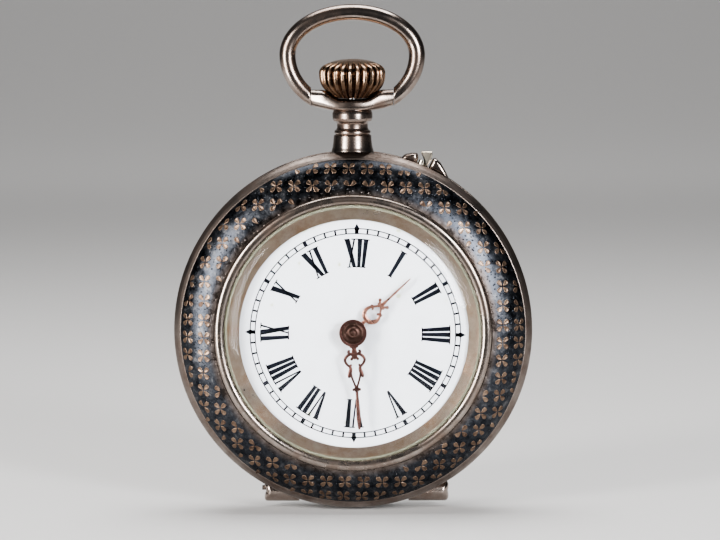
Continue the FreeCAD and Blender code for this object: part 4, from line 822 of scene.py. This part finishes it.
add_mesh("guards_visual", *joined([
    guard_data(15.4, 21.1, [(20.95, 16.5, 0.15), (20.25, 16.86, 0.2), (18.5, 16.7, 0.5),
                            (16.5, 16.38, 0.5)]),
    guard_data(33.6, 25.0, [(25.1, 16.93, 0.12), (25.9, 17.07, 0.2), (27.8, 16.9, 0.5),
                            (30.1, 16.5, 0.8)])]),
    "case", SILVER, nodes=("pusher_guards",), slot="silver", sharp=60)

# ---- dial -----------------------------------------------------------------------------------
DIAL_Y, DIAL_TURN = -1.8, 1.0
dial_profile = rounded([(0.85, DIAL_Y, 0.03), (9.9, DIAL_Y, 1.0), (10.6, -1.77, 0.2),
                        (10.9, -1.7, 0.05), (10.9, -1.25), (0.85, -1.25)], 0.03)
lathe("dial_visual", dial_profile, "case", ENAMEL, nodes=("dial",), slot="enamel")
# The print sits off the dial's centre, and stands from a little under the enamel to just over it.
PRINT_X, PRINT_Z = 0.2, -0.17
PRINT_FRONT, PRINT_BACK = DIAL_Y - 0.012, DIAL_Y + 0.01


def print_patch(outline):
    """Thin raised patch of print on the dial from polar corners (radius, clock angle)."""
    count = len(outline)
    front = []
    back = []
    for radius, degrees in outline:
        x, z = clock_point(radius, degrees + DIAL_TURN)
        front.append((x + PRINT_X, PRINT_FRONT, z + PRINT_Z))
        back.append((x + PRINT_X, PRINT_BACK, z + PRINT_Z))
    return front + back, end_faces(2, count) + quad_faces(2, count)


def ring_patch(inner, outer, steps=360):
    """Printed ring."""
    verts = []
    faces = []
    for turn in range(steps):
        for radius, level in ((inner, PRINT_BACK), (inner, PRINT_FRONT), (outer, PRINT_FRONT),
                              (outer, PRINT_BACK)):
            x, z = clock_point(radius, 360 * turn / steps)
            verts.append((x + PRINT_X, level, z + PRINT_Z))
    for turn in range(steps):
        here = turn * 4
        there = ((turn + 1) % steps) * 4
        for row in range(3):
            faces.append((here + row, here + row + 1, there + row + 1, there + row))
    return verts, faces


def tick(radius_low, radius_high, degrees, width):
    """Straight mark across the track."""
    low = math.degrees(width / 2 / radius_low)
    high = math.degrees(width / 2 / radius_high)
    return print_patch([(radius_low, degrees - low), (radius_low, degrees + low),
                        (radius_high, degrees + high), (radius_high, degrees - high)])


# Numerals: radius of their feet and of their middle, height, and the strokes' thicknesses.
FOOT, MIDDLE, TALL = 5.92, 7.27, 2.58
THICK, THIN, SERIF = 0.36, 0.145, 0.1


def stroke_box(x0, x1, y0, y1):
    """Upright box in numeral space."""
    return [(x0, y0), (x1, y0), (x1, y1), (x0, y1)]


def slanted(x_low, x_high, width_low, width_high=None):
    """Slanted stroke from foot to top."""
    width_high = width_high or width_low
    return [(x_low - width_low / 2, 0), (x_low + width_low / 2, 0),
            (x_high + width_high / 2, TALL), (x_high - width_high / 2, TALL)]


def numeral_strokes(text):
    """Outlines of one roman numeral, centred on zero."""
    widths = {"I": 0.47, "V": 1.02, "X": 1.0}
    total = sum(widths[letter] for letter in text)
    x = -total / 2
    shapes = []
    for letter in text:
        width = widths[letter]
        mid = x + width / 2
        if letter == "I":
            shapes.append(stroke_box(mid - THICK / 2, mid + THICK / 2, 0, TALL))
            for level in (0, TALL - SERIF):
                shapes.append(stroke_box(mid - 0.28, mid + 0.28, level, level + SERIF))
        elif letter == "V":
            shapes.append(slanted(mid - 0.03, mid - 0.27, THICK * 0.5, THICK))
            shapes.append(slanted(mid + 0.05, mid + 0.33, THIN))
            shapes.append(stroke_box(mid - 0.52, mid - 0.05, TALL - SERIF, TALL))
            shapes.append(stroke_box(mid + 0.17, mid + 0.5, TALL - SERIF, TALL))
        else:
            shapes.append(slanted(mid + 0.27, mid - 0.27, THICK * 1.15))
            shapes.append(slanted(mid - 0.3, mid + 0.3, THIN))
            for level in (0, TALL - SERIF):
                shapes.append(stroke_box(mid - 0.5, mid - 0.06, level, level + SERIF))
                shapes.append(stroke_box(mid + 0.06, mid + 0.5, level, level + SERIF))
        x += width
    return shapes


HOURS = ("XII", "I", "II", "III", "IIII", "V", "VI", "VII", "VIII", "IX", "X", "XI")
TRACK_INNER, TRACK_OUTER, TRACK_LINE = 8.94, 9.38, 0.045
HOUR_TICK, MINUTE_TICK = 0.34, 0.17
DIAMOND_HALF, DIAMOND_REACH = 0.25, 0.45
print_parts = [ring_patch(TRACK_INNER - TRACK_LINE, TRACK_INNER + TRACK_LINE),
               ring_patch(TRACK_OUTER - TRACK_LINE, TRACK_OUTER + TRACK_LINE)]
for minute in range(60):
    wide = HOUR_TICK if minute % 5 == 0 else MINUTE_TICK
    print_parts.append(tick(TRACK_INNER - 0.03, TRACK_OUTER + 0.05, minute * 6, wide))
for quarter in range(4):
    angle = 90 * quarter
    side = math.degrees(DIAMOND_HALF / TRACK_OUTER)
    print_parts.append(print_patch([
        (TRACK_OUTER - DIAMOND_REACH, angle), (TRACK_OUTER, angle + side),
        (TRACK_OUTER + DIAMOND_REACH, angle), (TRACK_OUTER, angle - side)]))
for hour, text in enumerate(HOURS):
    for shape in numeral_strokes(text):
        print_parts.append(print_patch([(FOOT + y, hour * 30 + math.degrees(x / MIDDLE))
                                        for x, y in shape]))
add_mesh("dial_print", *joined(print_parts), "case", INK, slot="enamel", sharp=20)

# ---- hands ----------------------------------------------------------------------------------
HOUR_FRONT, HOUR_BACK = -2.44, -2.27
MINUTE_FRONT, MINUTE_BACK = -3.06, -2.89
HOUR_CLOCK, MINUTE_CLOCK = 47.0, 176.4
STOUT = 1.5


def ribbon(points, widths, front, back):
    """Stroke of a pierced hand with a rounded face."""
    path = smooth_line(points, 6)
    line_widths = [w[0] * STOUT for w in smooth_line([(w, 0) for w in widths], 6)]
    verts = []
    profile = ((-1.0, back), (-1.0, front + 0.05), (-0.72, front + 0.012), (0.0, front),
               (0.72, front + 0.012), (1.0, front + 0.05), (1.0, back))
    for index, spot in enumerate(path):
        ahead = Vector(path[min(index + 1, len(path) - 1)]) - Vector(path[max(index - 1, 0)])
        if ahead.length < 1e-9:
            ahead = Vector((0, 1))
        ahead.normalize()
        normal = Vector((-ahead.y, ahead.x))
        for across, level in profile:
            p = Vector(spot) + normal * across * line_widths[index] / 2
            verts.append((p.x, level, p.y))
    return verts, quad_faces(len(path), len(profile)) + end_faces(len(path), len(profile))


def mirrored(points):
    """The same points on the other side of the hand."""
    return [(-x, y) for x, y in points]


def both(points, widths, front, back):
    """A stroke and its mirror image."""
    return [ribbon(points, widths, front, back), ribbon(mirrored(points), widths, front, back)]


def bead(x, y, radius, front, back):
    """Round knob on a hand."""
    outline = [(x + radius * math.cos(TAU * i / 20), y + radius * math.sin(TAU * i / 20))
               for i in range(20)]
    return slab_data(outline, front - 0.015, back, min(0.05, radius * 0.4))


def ring_data(outer, inner, front, back):
    """Flat ring round the centre of the dial."""
    return lathe_data(rounded([(inner, back), (outer, back), (outer, front, 0.04),
                               (inner, front, 0.02)], 0.02), 96)


# In the strokes below, f and b are the front and back levels of the hand.
f, b = HOUR_FRONT, HOUR_BACK
hour_parts = [ring_data(0.95, 0.72, f, b)]
hour_parts += [ribbon([(0, 0.8), (0, 1.2), (0, 1.66)], [0.36, 0.22, 0.22], f, b)]
hour_parts += both([(0.0, 1.64), (0.4, 1.76), (0.65, 2.08), (0.69, 2.42), (0.54, 2.78)],
                   [0.26, 0.27, 0.25, 0.2, 0.15], f, b)
hour_parts += both([(0.54, 2.78), (0.36, 2.76), (0.3, 2.62)], [0.14, 0.14, 0.1], f, b)
hour_parts += [bead(0.58, 2.84, 0.14, f, b), bead(-0.58, 2.84, 0.14, f, b)]
hour_parts += both([(0.5, 2.84), (0.34, 3.04), (0.16, 3.28), (0.0, 3.42)],
                   [0.14, 0.13, 0.14, 0.2], f, b)
hour_parts += [bead(0, 3.5, 0.2, f, b)]
hour_parts += both([(0.0, 3.5), (0.24, 3.54), (0.44, 3.72)], [0.2, 0.16, 0.14], f, b)
hour_parts += [bead(0.47, 3.75, 0.15, f, b), bead(-0.47, 3.75, 0.15, f, b),
               bead(0.3, 3.4, 0.1, f, b), bead(-0.3, 3.4, 0.1, f, b)]
hour_parts += [ribbon([(0, 3.5), (0, 3.9), (0, 4.3), (0, 5.2), (0, 6.98)],
                      [0.2, 0.18, 0.13, 0.13, 0.06], f, b)]
hour_verts, hour_faces = turned_clock(joined(hour_parts), HOUR_CLOCK)
add_mesh("hour_hand_visual", hour_verts, hour_faces, "hour", ROSE, nodes=("hour_hand",),
         slot="rose_gold")

f, b = MINUTE_FRONT, MINUTE_BACK
minute_parts = [ribbon([(0, 1.05), (0, 1.2), (0, 1.4), (0, 1.7), (0, 2.1)],
                       [0.4, 0.5, 0.28, 0.34, 0.28], f, b),
                bead(0.28, 1.2, 0.12, f, b), bead(-0.28, 1.2, 0.12, f, b)]
minute_parts += both([(0.1, 2.0), (0.3, 1.86), (0.52, 1.74), (0.5, 1.58), (0.36, 1.6)],
                     [0.2, 0.17, 0.15, 0.13, 0.12], f, b)
minute_parts += both([(0.3, 1.86), (0.6, 1.98), (0.83, 2.24), (0.86, 2.5), (0.68, 2.82),
                      (0.46, 2.98)],
                     [0.16, 0.17, 0.17, 0.16, 0.15, 0.16], f, b)
minute_parts += both([(0.46, 2.98), (0.36, 2.88), (0.42, 2.78)], [0.14, 0.12, 0.1], f, b)
minute_parts += both([(0.5, 2.9), (0.42, 3.2), (0.5, 3.55), (0.6, 3.86)],
                     [0.16, 0.2, 0.24, 0.2], f, b)
minute_parts += [bead(0.6, 3.88, 0.13, f, b), bead(-0.6, 3.88, 0.13, f, b)]
minute_parts += both([(0.44, 3.3), (0.4, 3.8), (0.22, 4.4), (0.06, 4.85)],
                     [0.14, 0.13, 0.12, 0.14], f, b)
minute_parts += both([(0, 2.05), (0.14, 2.16), (0.26, 2.28)], [0.22, 0.18, 0.14], f, b)
minute_parts += [bead(0.27, 2.32, 0.13, f, b), bead(-0.27, 2.32, 0.13, f, b),
                 bead(0, 2.24, 0.14, f, b)]
minute_parts += [bead(0, 5.05, 0.25, f, b), bead(0.26, 5.07, 0.13, f, b),
                 bead(-0.26, 5.07, 0.13, f, b)]
minute_parts += [ribbon([(0, 4.7), (0, 5.1), (0, 5.6), (0, 6.6), (0, 7.4), (0, 8.2), (0, 8.66)],
                        [0.14, 0.2, 0.17, 0.23, 0.26, 0.2, 0.12], f, b)]
minute_parts += [ring_data(1.23, 0.98, f - 0.08, b)]
minute_verts, minute_faces = turned_clock(joined(minute_parts), MINUTE_CLOCK)
add_mesh("minute_hand_visual", minute_verts, minute_faces, "minute", COPPER,
         nodes=("minute_hand",), slot="rose_gold")
boss = [(0.0005, f - 0.1), (0.16, f - 0.1), (0.2, f - 0.06), (0.3, f - 0.05), (0.34, f - 0.08),
        (0.42, f - 0.08), (0.46, f - 0.04), (0.7, f - 0.03), (0.74, f - 0.055),
        (0.8, f - 0.055), (0.84, f - 0.03), (1.0, f - 0.02), (1.0, b), (0.0005, b)]
lathe("minute_boss", boss, "minute", ROSE_DARK, steps=96, slot="rose_gold", sharp=60)

# ---- pieces inside --------------------------------------------------------------------------
INSIDE = {
    "bow_pins": STEEL, "hinge_pins": SILVER_DULL, "case_screws": STEEL, "main_plate": NICKEL,
    "barrel_bridge": NICKEL, "center_bridge": NICKEL, "third_bridge": NICKEL,
    "fourth_bridge": NICKEL, "escape_cock": NICKEL, "balance_cock": NICKEL,
    "bridge_screws": BLUED, "works_screws": BLUED, "jewels": RUBY, "click_spring": STEEL,
    "yoke_spring": STEEL, "hairspring_stud": STEEL, "hairspring": BLUED, "cock_cap": STEEL,
    "stem": STEEL, "winding_pinion": STEEL, "clutch_wheel": STEEL, "yoke": STEEL,
    "cannon_pinion": STEEL, "hour_wheel": BRASS, "minute_wheel": BRASS, "setting_wheel": STEEL,
    "escape_wheel": STEEL, "escape_pinion": STEEL, "fourth_wheel": BRASS,
    "fourth_pinion": STEEL, "third_wheel": BRASS, "third_pinion": STEEL, "center_wheel": BRASS,
    "center_pinion": STEEL, "barrel": BRASS, "barrel_cover": BRASS, "mainspring": BLUED,
    "barrel_arbor": STEEL, "ratchet_wheel": STEEL, "crown_wheel": STEEL, "click": STEEL,
    "balance_wheel": BRASS, "balance_staff": STEEL, "collet": BRASS, "regulator": STEEL,
}
for node_name, material in INSIDE.items():
    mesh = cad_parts[node_name].data
    mesh.materials.clear()
    mesh.materials.append(material)
    mesh.shade_smooth()
    mesh.set_sharp_from_angle(angle=math.radians(30))

# ---- floor, lights, camera ------------------------------------------------------------------
# The floor runs level under the hinge's lowest point and sweeps up behind; metres.
FLOOR_Z = (CASE_Z - 16.05) * MM
FLOOR_HALF = 0.9
PALE_FLOOR = new_material("floor_pale", (0.62, 0.61, 0.60), 0.0, 0.7)
SWEEP = [(-0.05, 0.0), (0.25, 0.0), (0.34, 0.012), (0.42, 0.05), (0.48, 0.12), (0.5, 0.21),
         (0.5, 0.9)]
floor_verts = []
floor_faces = []
for step, (depth, rise) in enumerate(smooth_line(SWEEP, 8)):
    for side in (-FLOOR_HALF, FLOOR_HALF):
        floor_verts.append((side, depth, rise + FLOOR_Z))
    if step:
        floor_faces.append((2 * step - 2, 2 * step - 1, 2 * step + 1, 2 * step))
floor_mesh = bpy.data.meshes.new("floor")
floor_mesh.from_pydata(floor_verts, [], floor_faces)
floor_mesh.shade_smooth()
floor_mesh.materials.append(PALE_FLOOR)
floor = bpy.data.objects.new("floor", floor_mesh)
bpy.context.scene.collection.objects.link(floor)

world = bpy.data.worlds.new("studio")
bpy.context.scene.world = world
world.use_nodes = True
world.node_tree.nodes["Background"].inputs["Color"].default_value = (0.80, 0.84, 0.92, 1)
world.node_tree.nodes["Background"].inputs["Strength"].default_value = 0.05
CENTER_POINT = Vector((0, 0, CASE_Z * MM))


def area_light(name, location, size, power, color=(1, 1, 1)):
    """Soft square lamp aimed at the case."""
    lamp = bpy.data.lights.new(name, "AREA")
    lamp.shape = "RECTANGLE"
    lamp.size = size[0]
    lamp.size_y = size[1]
    lamp.energy = power
    lamp.color = color
    item = bpy.data.objects.new(name, lamp)
    item.location = location
    aim = CENTER_POINT - Vector(location)
    item.rotation_euler = aim.to_track_quat("-Z", "Y").to_euler()
    bpy.context.scene.collection.objects.link(item)


area_light("left_lamp", (-0.18, -0.165, 0.0), (0.06, 0.2), 1.15, (1, 0.98, 0.96))
area_light("right_lamp", (0.135, -0.2, 0.03), (0.055, 0.105), 0.8, (0.97, 0.98, 1))
area_light("top_lamp", (0.0, 0.05, 0.24), (0.24, 0.16), 1.1)

# Camera angles in degrees, its distance and the width it sees there, and its aim off the centre.
AZIMUTH, ELEVATION, ROLL = 0.3, 5.8, -0.2
REACH, FIELD = 300.0, 64.72
AIM_RIGHT, AIM_UP = 0.61, 5.31
SENSOR = 36
turn = math.radians(AZIMUTH)
rise = math.radians(ELEVATION)
back = Vector((math.sin(turn) * math.cos(rise), -math.cos(turn) * math.cos(rise),
               math.sin(rise)))
camera_data = bpy.data.cameras.new("camera")
camera = bpy.data.objects.new("camera", camera_data)
bpy.context.scene.collection.objects.link(camera)
camera.rotation_mode = "QUATERNION"
camera.rotation_quaternion = (-back).to_track_quat("-Z", "Y")
camera.rotation_quaternion = camera.rotation_quaternion @ Quaternion((0, 0, 1), math.radians(ROLL))
right = camera.rotation_quaternion @ Vector((1, 0, 0))
up = camera.rotation_quaternion @ Vector((0, 1, 0))
target = CENTER_POINT + (right * AIM_RIGHT + up * AIM_UP) * MM
camera.location = target + back * REACH * MM
camera_data.sensor_width = SENSOR
camera_data.lens = SENSOR * REACH / FIELD
camera_data.clip_start = 0.01
camera_data.clip_end = 10
bpy.context.scene.camera = camera
bpy.context.scene.view_settings.view_transform = "AgX"
bpy.context.scene.view_settings.look = "AgX - Medium High Contrast"
